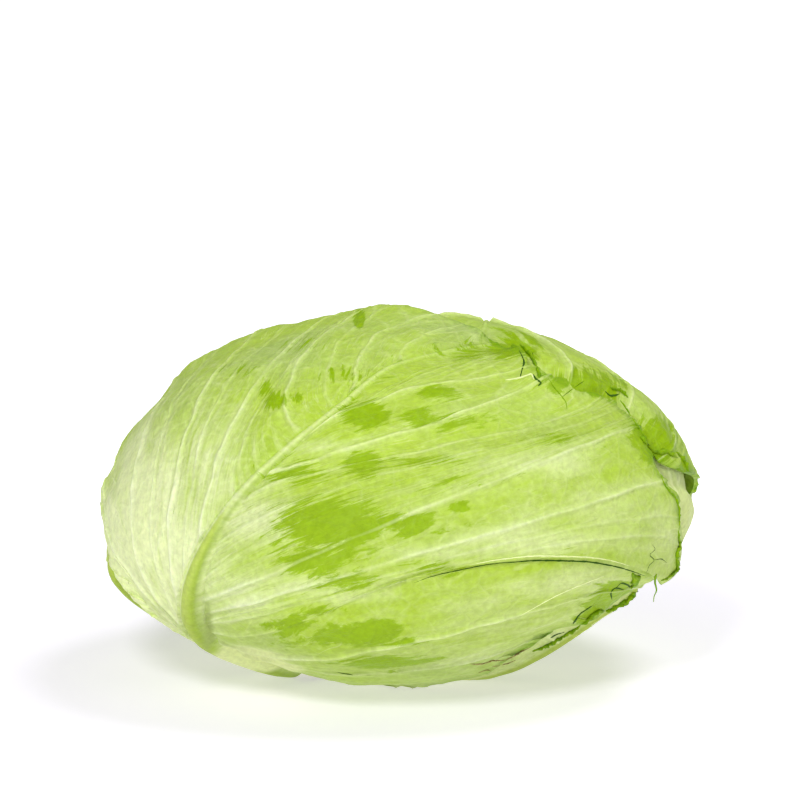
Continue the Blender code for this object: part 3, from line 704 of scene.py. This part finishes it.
def vein_pattern(veins, places, out, row_gap, row_length, seed):
    """Relief in metres and paleness of the side veins and their branches on a half blade."""
    draw = np.random.default_rng(seed)
    relief, pale = np.zeros((2, *row_gap.shape))
    place = places[:, None]
    taper = 1 - (1 - VEIN_END) * out
    strengths = {vein[0]: vein[4] for vein in veins if vein[4] > 0}
    for key, strength in strengths.items():
        line = key + VEIN_WANDER * wobble(out, draw, 2.5) / row_gap
        here = strength * (0.85 + 0.3 * wobble(out, draw, 3.0))
        width = VEIN_WIDTH * taper * (0.5 + 0.5 * strength)
        apart = np.abs(place - line) * row_gap
        ridge = bell(apart, width)
        relief = np.maximum(relief, ridge * VEIN_HEIGHT * taper * here)
        shine = np.maximum(ridge ** 1.3, GLOW * bell(apart, GLOW_REACH * width))
        pale = np.maximum(pale, shine * here * (1 - 0.25 * out))
    ends = [0.02, *sorted(strengths), 0.97]
    for low, high in zip(ends, ends[1:]):
        for start_out in np.arange(0.07, 0.93, BRANCH_GAP):
            start_out = start_out + draw.uniform(-0.4, 0.4) * BRANCH_GAP
            begin, end = (low, high) if draw.random() < 0.55 else (high, low)
            row = int(np.clip(np.searchsorted(places, begin), 0, len(places) - 1))
            column = int(np.argmin(np.abs(out[row] - start_out)))
            apart = (high - low) * row_gap[row, column]
            length = apart / row_length[row] * draw.uniform(1.0, 1.7)
            bend, size = draw.uniform(0.8, 1.4), draw.uniform(0.5, 1.0)
            wander = wobble(out, draw, 9.0)
            if apart < BRANCH_LEAST:
                continue
            share = (out - start_out) / length
            line = begin + (end - begin) * np.clip(share, 0, 1) ** bend
            line = line + VEIN_WANDER * wander / row_gap
            distance = np.abs(place - line) * row_gap * BRANCH_LEAN
            fade = smooth_step(share / 0.05) * smooth_step((1.0 - share) / 0.6) * size
            ridge = bell(distance, BRANCH_WIDTH) * fade
            relief = np.maximum(relief, ridge * BRANCH_HEIGHT * taper)
            pale = np.maximum(pale, ridge * BRANCH_PALENESS)
    return relief, pale


def quilting(veins, places, pattern):
    """How far the blade swells between neighbouring veins: 0 on a vein, up to 1 between."""
    keys = np.array([0.0, *sorted(vein[0] for vein in veins if vein[4] > 0), 1.0])
    cell = np.clip(np.searchsorted(keys, places, side="right") - 1, 0, len(keys) - 2)
    across = (places - keys[cell]) / (keys[cell + 1] - keys[cell])
    return np.sin(math.pi * np.clip(across, 0, 1))[:, None] * pattern


def margin_rise(leaf, w):
    """How far the blade stands off towards its margin, and the blocks that the tear leaves."""
    near_edge = smooth_step((w.out - EDGE_WAVE_START) / (1 - EDGE_WAVE_START)) ** 2
    rise = EDGE_WAVE * (1.0 + waves(w.angle, EDGE_WAVES)) * near_edge
    kept = np.ones([(size - 1) // BLOCK for size in w.out.shape], bool)
    if leaf.torn:
        direction, width, share = FRONT_HELD
        rise = rise * (1.0 - share * bell(w.angle - direction, width))
        curling = smooth_step((w.out - CURL_START) / (1 - CURL_START))
        for direction, width, height in FRONT_CURLS:
            rise = rise + height * bell(w.angle - direction, width) * curling
        first = w.last_rib + 1
        block = round((first + int(np.searchsorted(w.steps_right, FRONT_TEAR_START))) / BLOCK)
        start = w.steps_right[block * BLOCK - first]
        open_share = np.clip((w.signed - start) / (1 - start), 0, 1)
        near_tear = fading(w.places, LOWER_ROW, FRONT_TEAR_TOP - LOWER_ROW)
        near_tear = near_tear * (w.places > LOWER_ROW)[:, None]
        rise = rise + TEAR_LIFT * open_share ** TEAR_CURVE * near_tear
        kept[w.tear_row // BLOCK, block:] = False
    return rise, kept


def blade_relief(leaf, w, seed):
    """The height of a blade's veins, midrib and swellings, and what the masks need of them."""
    places, out, rib = w.places, w.out, w.rib
    relief, pale, quilt = np.zeros((3, *out.shape))
    swelling = 0.5 + 0.5 * noise_at(w.ground, SWELLING_SCALE, seed + 1, 2)
    sides = ((slice(0, w.first_rib), leaf.left), (slice(w.last_rib + 1, None), leaf.right))
    for number, (columns, veins) in enumerate(sides):
        relief[:, columns], pale[:, columns] = vein_pattern(
            veins, places, out[:, columns], w.row_gap[:, columns], w.half_lengths[number],
            seed + number,
        )
        quilt[:, columns] = quilting(veins, places, swelling[:, columns])
    rib_height = through(places, MIDRIB_PLACES, MIDRIB_HEIGHT)[:, None]
    rib_round = np.where(np.abs(rib) < 1, np.cos(np.abs(rib) * math.pi / 2), 0.0)
    half_width = through(places, MIDRIB_PLACES, MIDRIB_HALF_WIDTH)[:, None] * METRES_A_DEGREE
    beside = out * w.side_lengths / half_width
    channel = bell(beside - CHANNEL_PLACE, CHANNEL_WIDTH) * (w.signed > 0)
    skirt = np.exp(-beside / RIB_SKIRT) * (w.signed < 0) + (rib < 0) * (1 - rib_round)
    midrib = rib_height * (rib_round + SKIRT_HEIGHT * skirt * (rib < 0))
    pillow = noise_at(w.ground, PILLOW_SCALE, seed)
    crumple = 1 - 2 * np.abs(noise_at(w.ground * CRUMPLE_STRETCH, CRUMPLE_SCALE, seed + 3, 4))
    swollen = QUILT * quilt + PILLOW * pillow + CRUMPLE * crumple * (1 - np.clip(pale, 0, 1))
    surface = relief * (1 - 0.7 * channel) + midrib - CHANNEL_DEPTH * rib_height * channel
    surface = surface + swollen * (0.3 + 0.7 * np.minimum(out * 4, 1))
    return surface, pale, channel, rib_round, half_width


def leaf_masks(leaf, w, pale, channel, rib_round, marked):
    """What a leaf's material is told at each point: spots, veins, midrib, margin and base."""
    places, rib = w.places, w.rib
    across, up = w.directions @ front.chart.east, w.directions @ front.chart.north
    seen = np.stack(
        [SEEN_MIDDLE[0] + SEEN_HALF[0] * across, SEEN_MIDDLE[1] - SEEN_HALF[1] * up], -1
    )
    facing = smooth_step((w.directions @ front.chart.facing + 0.05) / 0.15) * marked
    from_margin = leaf.margin_at(w.angle) - w.distance
    masks = {label: in_places(seen, spots) * facing for label, spots in SPOTS.items()}
    for label, spots in FRONT_SPOTS.items():
        masks[label] = in_places(seen, spots) * facing * (leaf is front)
    high_rib = rib_round * (1 - fading(places, 0.3, 0.3)) * fading(places, 0.7, 0.3)
    masks["vein"] = np.clip(pale + 0.6 * high_rib, 0, 1)
    masks["rib"] = rib_round * fading(places, 0.36, 0.36)
    # The channel and the midrib's right flank get painted shade
    masks["channel"] = channel * fading(places, 0.10, 0.25)
    shaded = (np.abs(rib - 0.55) < 0.6) * bell(rib - 0.6, 0.35)
    masks["shade"] = shaded * fading(places, 0.45, 0.35)
    on_right = smooth_step((seen[..., 0] - 400) / 90)
    masks["edge"] = smooth_step(1 - from_margin / EDGE_BAND) * on_right
    masks["base"] = fading(places, 0.0, 0.30) * np.ones(w.out.shape)
    return masks


def leaf_surface(leaf, gaps, seed, marked=False):
    """Everything about a leaf's fine surface: points of both faces and the masks on them."""
    w = Weave(leaf, gaps)
    surface, pale, channel, rib_round, half_width = blade_relief(leaf, w, seed)
    layers = np.zeros(w.out.shape)
    for over in leaf.over:
        layers = layers + over.covers(w.directions, leaf.reach)
    bare = 1.0 - np.minimum(layers, 1.0)
    rise, kept = margin_rise(leaf, w)
    body = -LAYER * layers + rise * bare
    thin = smooth_step((w.out - THIN_START) / THIN_LENGTH)
    outer = on_head(w.directions, body + surface * bare - 0.2 * BLADE * thin)
    inner = on_head(w.directions, body - BLADE * (1 - 0.25 * thin))
    masks = leaf_masks(leaf, w, pale, channel, rib_round, marked)
    along = (w.places * leaf.midrib_length * METRES_A_DEGREE)[:, None] * np.ones(w.out.shape)
    grain = np.stack([w.signed * w.side_lengths + w.rib * half_width, along], -1)
    return outer, inner, kept, masks, grain


def add_object(name, data):
    made = bpy.data.objects.new(name, data)
    bpy.context.scene.collection.objects.link(made)
    return made


def add_mesh(name, points, faces, skin):
    mesh = bpy.data.meshes.new(name)
    mesh.from_pydata(points, [], faces)
    mesh.update()
    mesh.materials.append(skin)
    return add_object(name, mesh)


def add_piece(name, points, faces, skin):
    made = add_mesh(name, points, faces, skin)
    made.data.shade_smooth()
    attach(made, "root")
    return made


def closed_leaf(name, surface, skin):
    """A closed leaf: a fine outer face, a coarser inner face, and a rim that joins them."""
    outer, inner, kept, masks, grain = surface
    rows, columns = outer.shape[:2]
    index = np.arange(rows * columns).reshape(rows, columns)
    coarse = index[::BLOCK, ::BLOCK] + rows * columns
    fine_quads, coarse_quads = (
        np.stack([at[:-1, :-1], at[:-1, 1:], at[1:, 1:], at[1:, :-1]], -1) for at in (index, coarse)
    )
    faces = fine_quads[np.repeat(np.repeat(kept, BLOCK, 0), BLOCK, 1)].tolist()
    faces += coarse_quads[kept][:, [0, 3, 2, 1]].tolist()
    padded = np.pad(kept, 1)
    half = BLOCK // 2
    for row, column in np.argwhere(kept):
        for corner, (down, over) in BLOCK_SIDES:
            if padded[row + 1 - over, column + 1 + down]:
                continue
            first = (row + corner[0]) * BLOCK, (column + corner[1]) * BLOCK
            top = [int(index[first[0] + down * i, first[1] + over * i]) for i in range(BLOCK + 1)]
            low = [top[0] + rows * columns, top[-1] + rows * columns]
            faces += [[top[i + 1], top[i], low[i >= half]] for i in range(BLOCK)]
            faces.append([*low, top[half]])
    used = np.unique(np.concatenate(faces))
    number = dict(zip(used.tolist(), range(len(used))))
    faces = [[number[corner] for corner in face] for face in faces]
    points = np.concatenate([outer.reshape(-1, 3), inner.reshape(-1, 3)])[used]
    made = add_piece(name, points.tolist(), faces, skin)
    for label, values in masks.items():
        attribute = made.data.attributes.new(label, "FLOAT", "POINT")
        attribute.data.foreach_set("value", np.tile(values.ravel(), 2)[used].astype(np.float32))
    flat = np.tile(grain.reshape(-1, 2), (2, 1))[used][np.concatenate(faces)] * 10
    layer = made.data.uv_layers.new(name="grain")
    layer.data.foreach_set("uv", flat.astype(np.float32).ravel())
    made.data.set_sharp_from_angle(angle=math.radians(50))
    return made


class Nodes:
    """Short names for building a material's nodes."""

    def __init__(self, name):
        self.material = bpy.data.materials.new(name)
        self.material.use_nodes = True
        self.tree = self.material.node_tree
        self.shader = self.tree.nodes["Principled BSDF"]
        self.shader.inputs["Metallic"].default_value = 0.0

    def feed(self, node, inputs):
        """Link or set a node's inputs, by name or number."""
        for label, value in inputs.items():
            socket = node.inputs[label]
            if isinstance(value, bpy.types.NodeSocket):
                self.tree.links.new(value, socket)
            elif socket.type == "RGBA":
                socket.default_value = (*value, 1.0)
            else:
                socket.default_value = value

    def add(self, kind, inputs, output=0, **settings):
        """Add a node with its settings and inputs, and give back one of its outputs."""
        made = self.tree.nodes.new(kind)
        for label, value in settings.items():
            setattr(made, label, value)
        self.feed(made, inputs)
        return made.outputs[output]

    def mask(self, label):
        return self.add("ShaderNodeAttribute", {}, "Fac", attribute_name=label)

    def maths(self, kind, first, second=0.0, clamp=False):
        inputs = {0: first, 1: second}
        return self.add("ShaderNodeMath", inputs, operation=kind, use_clamp=clamp)

    def times(self, first, second):
        return self.maths("MULTIPLY", first, second)

    def plus(self, first, second, clamp=False):
        return self.maths("ADD", first, second, clamp)

    def minus(self, first, second, clamp=False):
        return self.maths("SUBTRACT", first, second, clamp)

    def swing(self, value, middle, share):
        """How far a value is from its middle, scaled."""
        return self.times(self.minus(value, middle), share)

    def without(self, value, share):
        """1 less a share of a value."""
        return self.minus(1.0, self.times(value, share))

    def ramp(self, value, low, high, to_low=0.0, to_high=1.0):
        inputs = {
            "Value": value, "From Min": low, "From Max": high, "To Min": to_low, "To Max": to_high,
        }
        return self.add("ShaderNodeMapRange", inputs, "Result", interpolation_type="SMOOTHSTEP")

    def mix(self, share, first, second, blend="MIX"):
        inputs = {"Factor": share, 6: first, 7: second}
        return self.add("ShaderNodeMix", inputs, 2, data_type="RGBA", blend_type=blend)

    def place(self, scale=(1, 1, 1), grain=False):
        """The place in metres, or across and along the leaf's grain."""
        if grain:
            source = self.add("ShaderNodeUVMap", {}, uv_map="grain")
        else:
            source = self.add("ShaderNodeTexCoord", {}, "Object")
        return self.add("ShaderNodeMapping", {"Vector": source, "Scale": scale})

    def noise(self, place, scale, detail=4.0, rough=0.55, warp=0.0, output="Fac"):
        inputs = {
            "Vector": place, "Scale": scale, "Detail": detail, "Roughness": rough,
            "Distortion": warp,
        }
        return self.add("ShaderNodeTexNoise", inputs, output)

    def net(self, place, scale, line):
        """Thin lines of an uneven net: 1 on a line."""
        inputs = {"Vector": place, "Scale": scale}
        apart = self.add("ShaderNodeTexVoronoi", inputs, "Distance", feature="DISTANCE_TO_EDGE")
        return self.ramp(apart, 0.0, line, 1.0, 0.0)

    def warped(self, place, amount, scale):
        """The same places pushed about by noise."""
        push = self.noise(place, scale, 2.0, 0.5, output="Color")
        inputs = {0: push, 1: (amount, amount, amount), 2: place}
        return self.add("ShaderNodeVectorMath", inputs, operation="MULTIPLY_ADD")

    def bump(self, height, strength, distance):
        inputs = {"Height": height, "Strength": strength, "Distance": distance}
        return self.add("ShaderNodeBump", inputs)


def leaf_material(name, pale, mid, deep):
    """A waxy cabbage leaf: mottled green, a net of fine veins, and bloom that is rubbed off."""
    nodes = Nodes(name)
    mask, mix, times, plus, ramp = nodes.mask, nodes.mix, nodes.times, nodes.plus, nodes.ramp
    here = nodes.place()
    streaks = nodes.noise(nodes.place((1.4, 9.0, 1.0), grain=True), 2.6, 8.0, 0.66, 0.25)
    blotches = nodes.noise(nodes.place((1.0, 4.6, 1.0), grain=True), 5.5, 9.0, 0.72, 0.4)
    cloud = nodes.noise(here, 22.0, 5.0, 0.55)
    fine = nodes.noise(here, 420.0, 4.0, 0.6)

    # The ground colour: pale places, grey bloom, and where that is rubbed off
    paleness = plus(mask("pale"), times(mask("base"), 0.75))
    paleness = plus(paleness, nodes.swing(streaks, 0.53, 1.8))
    paleness = plus(paleness, nodes.swing(cloud, 0.5, 0.7), True)
    grey = times(plus(mask("grey"), 0.55), ramp(cloud, 0.35, 0.65, 0.4, 1.0))
    grey = times(times(grey, nodes.without(paleness, 0.6)), 0.75)
    rubbed = ramp(plus(mask("bright"), nodes.swing(blotches, 0.5, 2.9)), 0.40, 0.66)
    dulled = nodes.without(rubbed, 0.8)
    colour = mix(rubbed, mix(grey, mix(paleness, mid, pale), GREY_GREEN), deep)

    # Fine dark furrows and pale threads along the grain
    lines = nodes.noise(nodes.place((1.0, 8.0, 1.0), grain=True), 2.4, 3.0, 0.5, 0.3)
    lines = nodes.minus(lines, 0.5)
    furrows = ramp(nodes.maths("ABSOLUTE", lines), 0.0, 0.018, 1.0, 0.0)
    threads = ramp(nodes.maths("ABSOLUTE", plus(lines, 0.07)), 0.0, 0.014, 1.0, 0.0)
    colour = mix(times(furrows, ramp(cloud, 0.3, 0.7, 0.0, 0.22)), colour, deep)
    thready = times(dulled, ramp(cloud, 0.3, 0.7, 0.30, 0.0))
    colour = mix(times(threads, thready), colour, VEIN)

    # The net of small veins, the side veins, and the midrib with its shaded sides
    wandering = nodes.warped(here, 0.006, 60.0)
    coarse_net = nodes.net(wandering, 95.0, 0.09)
    fine_net = nodes.net(wandering, 260.0, 0.12)
    net = nodes.maths("MAXIMUM", coarse_net, times(fine_net, 0.45))
    net = times(net, ramp(cloud, 0.30, 0.60, 0.35, 1.0))
    colour = mix(times(times(net, dulled), 0.12), colour, VEIN)
    veins = times(nodes.minus(mask("vein"), times(rubbed, 0.38), True), VEIN_PALENESS)
    colour = mix(veins, colour, mix(paleness, VEIN, WHITE_VEIN))
    colour = mix(times(ramp(mask("rib"), 0.35, 0.7), 0.9), colour, RIB)
    colour = mix(times(mask("shade"), 0.75), colour, RIB_SHADE)
    # Painted shade in the channel beside the midrib
    colour = mix(times(mask("channel"), 0.6), colour, GREY_GREEN)
    edge = times(mask("edge"), ramp(blotches, 0.35, 0.65, 0.25, 1.0))
    colour = mix(times(edge, 0.85), colour, EDGE_GREEN)
    colour = mix(ramp(mask("heel"), 0.3, 0.9), colour, HEEL)
    # Painted shade in the groove beside the midrib
    colour = mix(ramp(mask("furrow_shade"), 0.2, 0.9), colour, FURROW_SHADE)

    shade = ramp(fine, 0.3, 0.7, 0.90, 1.06)
    tone = nodes.add("ShaderNodeCombineColor", dict.fromkeys(("Red", "Green", "Blue"), shade))
    rough = plus(plus(0.36, times(fine, 0.12)), times(nodes.minus(1.0, rubbed), 0.10))
    height = plus(times(net, 0.25), times(fine, 0.2))
    height = plus(plus(height, times(streaks, 0.7)), times(blotches, 0.35))
    height = plus(height, times(nodes.minus(threads, furrows), 0.10))
    nodes.feed(nodes.shader, {
        "Base Color": mix(1.0, colour, tone, "MULTIPLY"),
        "Roughness": rough,
        "Specular IOR Level": 0.10,
        "Subsurface Weight": 0.08,
        "Subsurface Radius": (0.6, 1.0, 0.2),
        "Subsurface Scale": 0.003,
        "Normal": nodes.bump(height, 0.7, 0.0008),
    })
    return nodes.material


def plain_material(name, colour, other, scale, rough):
    """A matt plant surface with soft mottling."""
    nodes = Nodes(name)
    cloud = nodes.noise(nodes.place(), scale, 5.0, 0.6)
    fine = nodes.noise(nodes.place(), scale * 9, 4.0, 0.6)
    share = nodes.ramp(nodes.plus(nodes.times(cloud, 0.8), nodes.times(fine, 0.2)), 0.35, 0.65)
    nodes.feed(nodes.shader, {
        "Base Color": nodes.mix(share, colour, other),
        "Roughness": nodes.ramp(fine, 0.3, 0.7, rough - 0.08, rough + 0.08),
        "Specular IOR Level": 0.12,
        "Normal": nodes.bump(fine, 0.4, 0.0006),
    })
    return nodes.material


class Sight:
    """The lines of sight of the photograph's view, and where they meet the leaves."""

    def __init__(self, eye, aim, screen_up, bodies):
        self.eye, self.aim, self.up = eye, aim, screen_up
        points, faces = [], []
        for body in bodies:
            start = len(points)
            points += [tuple(vertex.co) for vertex in body.data.vertices]
            faces += [[start + i for i in face.vertices] for face in body.data.polygons]
        self.tree = BVHTree.FromPolygons(points, faces)

    def ray(self, x, y):
        mark = self.aim + Vector((1, 0, 0)) * (x - 400) * METRES_A_PIXEL
        return (mark + self.up * (400 - y) * METRES_A_PIXEL - self.eye).normalized()

    def meet(self, x, y):
        """The place and outward direction of the leaves at a pixel, or just inside it."""
        for step in range(24):
            share = step / 200
            ray = self.ray(x + (SEEN_MIDDLE[0] - x) * share, y + (SEEN_MIDDLE[1] - y) * share)
            place, normal, _, _ = self.tree.ray_cast(self.eye, ray)
            if place is not None:
                return np.array(place), np.array(normal if normal.dot(ray) < 0 else -normal)
        raise ValueError("no leaf is seen there")


def tube_faces(start, stations, ring):
    """The faces of a closed tube of rings of points."""
    end = start + (stations - 1) * ring
    faces = [
        (a + corner, a + (corner + 1) % ring, a + (corner + 1) % ring + ring, a + corner + ring)
        for a in range(start, end, ring) for corner in range(ring)
    ]
    return faces + [tuple(range(start, start + ring))[::-1], tuple(range(end, end + ring))]


def evened(pixels):
    """Even steps along a line of pixels, and how far along each is, from 0 to 1."""
    lengths = np.hypot(*np.diff(np.array(pixels, float), axis=0).T)
    lengths = np.concatenate([[0.0], np.cumsum(lengths)])
    run = np.linspace(0, lengths[-1], max(5, round(lengths[-1] / MARK_STEP)) + 1)
    return line_through(run, lengths, pixels), run / run[-1]


def unbroken(middles):
    """The stretches of a line of places on the leaves that don't jump from leaf to leaf."""
    jumps = np.flatnonzero(np.linalg.norm(np.diff(middles, axis=0), axis=1) > MARK_JUMP) + 1
    return [part for part in np.split(np.arange(len(middles)), jumps) if len(part) > MARK_LEAST]


def lay_marks(name, sight, marks, rise, uneven, skin, seed):
    """Closed strips laid on the leaves, pinched at both ends, all in one piece."""
    draw = np.random.default_rng(seed)
    points, faces = [], []
    for half_width, pixels in marks:
        line, _ = evened(pixels)
        stand = rise * min(1.0, half_width / FULL_RISE_WIDTH)
        middles, normals = (np.array(found) for found in zip(*(sight.meet(x, y) for x, y in line)))
        for part in unbroken(middles):
            middle, normal = middles[part], normals[part]
            share_along = np.linspace(0, 1, len(part))
            pinch = np.clip(4 * share_along * (1 - share_along), 0.02, 1) ** 0.5
            side = unit(np.cross(normal, np.gradient(middle, axis=0)))
            beside = [1 + uneven * wobble(part / 10, draw, 1.0) for _ in (0, 1)]
            crest = 1 + uneven * wobble(part / 6, draw, 1.0)
            faces += tube_faces(len(points), len(part), len(MARK_SHARES) + 1)
            for i in range(len(part)):
                for share in MARK_SHARES:
                    reach = share * half_width * METRES_A_PIXEL * beside[share > 0][i] * pinch[i]
                    place = sight.tree.find_nearest(Vector(middle[i] + side[i] * reach))[0]
                    height = stand * (0.25 + (1 - share ** 2) * crest[i]) * pinch[i]
                    points.append(tuple(np.array(place) + normal[i] * height))
                points.append(tuple(middle[i] - normal[i] * MARK_SINK))
    return add_piece(name, points, faces, skin)


def hang_thread(name, sight, skin):
    """A thin strand that hangs from the torn corner, as far away as the corner."""
    met, _ = sight.meet(*THREAD[0])
    apart = (Vector(met) - sight.eye).length
    line, shares = evened(THREAD)
    points = []
    for place, share in zip(line, shares):
        width = THREAD_HALF_WIDTH * METRES_A_PIXEL * (1 - 0.75 * share)
        middle = sight.eye + sight.ray(*place) * apart
        for x, y in ((width, 0), (0, width * 0.6), (-width, 0), (0, -width * 0.6)):
            points.append(tuple(middle + Vector((x, y, 0))))
    return add_piece(name, points, tube_faces(0, len(line), 4), skin)


def add_light(name, place, size, power):
    light = bpy.data.lights.new(name, "AREA")
    light.shape = "DISK"
    light.size = size
    light.energy = power
    made = add_object(name, light)
    made.location = place
    made.rotation_euler = (LIT_PLACE - Vector(place)).to_track_quat("-Z", "Y").to_euler()


front_right = FRONT_LOWER_RIGHT + FRONT_UPPER_RIGHT
front_chart = Chart(FRONT_FACING, (0, 0, 1))
front = Leaf(front_chart, FRONT_MIDRIB, FRONT_MARGIN, front_right, FRONT_LEFT, [], torn=True)
back = round_leaf(BACK_AZIMUTH, BACK_MARGIN, [front], BACK_VEIN_PAIRS)
right = round_leaf(RIGHT_AZIMUTH, SIDE_MARGIN, [front, back], RIGHT_VEIN_PAIRS)
left = round_leaf(LEFT_AZIMUTH, SIDE_MARGIN, [front, back, right], LEFT_VEIN_PAIRS)
inner = round_leaf(INNER_AZIMUTH, SIDE_MARGIN, [front, back, right, left], INNER_VEIN_PAIRS)

front_skin = leaf_material("front leaf", PALE, MID, BRIGHT)
back_skin = leaf_material("back leaf", BACK_PALE, MID, BRIGHT)
left_skin = leaf_material("left leaf", PALE, LEFT_GREEN, MID)
pale_skin = leaf_material("pale leaf", PALE_YELLOW, PALE_YELLOW, MID)

pieces = [
    closed_leaf("front_leaf", leaf_surface(front, FRONT_GAPS, 11, True), front_skin),
    closed_leaf("back_leaf", leaf_surface(back, BACK_GAPS, 21, True), back_skin),
    closed_leaf("right_leaf", leaf_surface(right, SIDE_GAPS, 31), pale_skin),
    closed_leaf("left_leaf", leaf_surface(left, SIDE_GAPS, 41), left_skin),
    closed_leaf("inner_leaf", leaf_surface(inner, INNER_GAPS, 51), pale_skin),
]
cad_leaves = ("leaf_front", "leaf_back", "leaf_right", "leaf_left", "leaf_inner")
for piece, node in zip(pieces, cad_leaves):
    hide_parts(node)

# The photograph's view, and the marks that are laid along its lines of sight
elevation = math.radians(CAMERA_ELEVATION)
away = Vector((0, -math.cos(elevation), math.sin(elevation)))
screen_up = Vector((0, math.sin(elevation), math.cos(elevation)))
aim = (
    Vector(HEAD_MIDDLE)
    + screen_up * (SEEN_MIDDLE[1] - 400) * METRES_A_PIXEL
    + Vector((1, 0, 0)) * (400 - SEEN_MIDDLE[0]) * METRES_A_PIXEL
)
sight = Sight(aim + away * CAMERA_DISTANCE, aim, screen_up, pieces[:4])
# The dark lines' skin is painted shadow
painted_shadow_skin = plain_material("painted_shadow", PAINTED_SHADOW, PAINTED_SHADOW_PALER, 500.0, 0.6)
brown_skin = plain_material("dry edge", BROWN, STRAW, 500.0, 0.7)
torn_skin = plain_material("torn edge", EDGE_GREEN, BRIGHT, 320.0, 0.4)
lip_skin = plain_material("lip", VEIN, PALE_YELLOW, 260.0, 0.45)
pieces += [
    # The dark lines are painted shadow and shade
    lay_marks("painted_shadows", sight, DARK_MARKS, DARK_RISE, DARK_UNEVEN, painted_shadow_skin, 61),
    lay_marks("dry_edges", sight, BROWN_MARKS, BROWN_RISE, BROWN_UNEVEN, brown_skin, 62),
    lay_marks("torn_edges", sight, GREEN_MARKS, GREEN_RISE, GREEN_UNEVEN, torn_skin, 63),
    lay_marks("lips", sight, PALE_MARKS, PALE_RISE, PALE_UNEVEN, lip_skin, 64),
    hang_thread("thread", sight, torn_skin),
]

heart_skin = plain_material("heart", HEART, PALE, 40.0, 0.5)
stem_skin = plain_material("stem", CREAM, STEM_BROWN, 120.0, 0.55)
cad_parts["heart"].material_slots[0].material = heart_skin
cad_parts["stem"].material_slots[0].material = stem_skin

# The floor's own light grows from near the head to far from it
floor_look = Nodes("floor")
far = floor_look.add(
    "ShaderNodeVectorMath", {0: floor_look.place()}, "Value", operation="LENGTH"
)
floor_look.feed(floor_look.shader, {
    "Base Color": FLOOR,
    "Roughness": 0.7,
    "Specular IOR Level": 0.2,
    "Emission Color": (1, 1, 1),
    "Emission Strength": floor_look.ramp(far, FLOOR_NEAR, FLOOR_FAR, *FLOOR_GLOW),
})
corners = [(x * FLOOR_HALF, y * FLOOR_HALF, 0) for x, y in ((-1, -1), (1, -1), (1, 1), (-1, 1))]
floor = add_mesh("floor", corners, [(0, 1, 2, 3)], floor_look.material)

world = bpy.data.worlds.new("studio")
bpy.context.scene.world = world
world.use_nodes = True
world.node_tree.nodes["Background"].inputs["Color"].default_value = (1, 1, 1, 1)
world.node_tree.nodes["Background"].inputs["Strength"].default_value = WORLD_STRENGTH
bpy.context.scene.view_settings.view_transform = "Standard"
for light in LIGHTS:
    add_light(*light)

camera = add_object("camera", bpy.data.cameras.new("camera"))
camera.data.sensor_width = SENSOR
camera.data.lens = SENSOR * CAMERA_DISTANCE / (800 * METRES_A_PIXEL)
camera.location = aim + away * CAMERA_DISTANCE
camera.rotation_euler = (-away).to_track_quat("-Z", "Y").to_euler()
bpy.context.scene.camera = camera

for piece in pieces:
    print(piece.name, sum(len(face.vertices) - 2 for face in piece.data.polygons), "triangles")
bpy.context.view_layer.update()
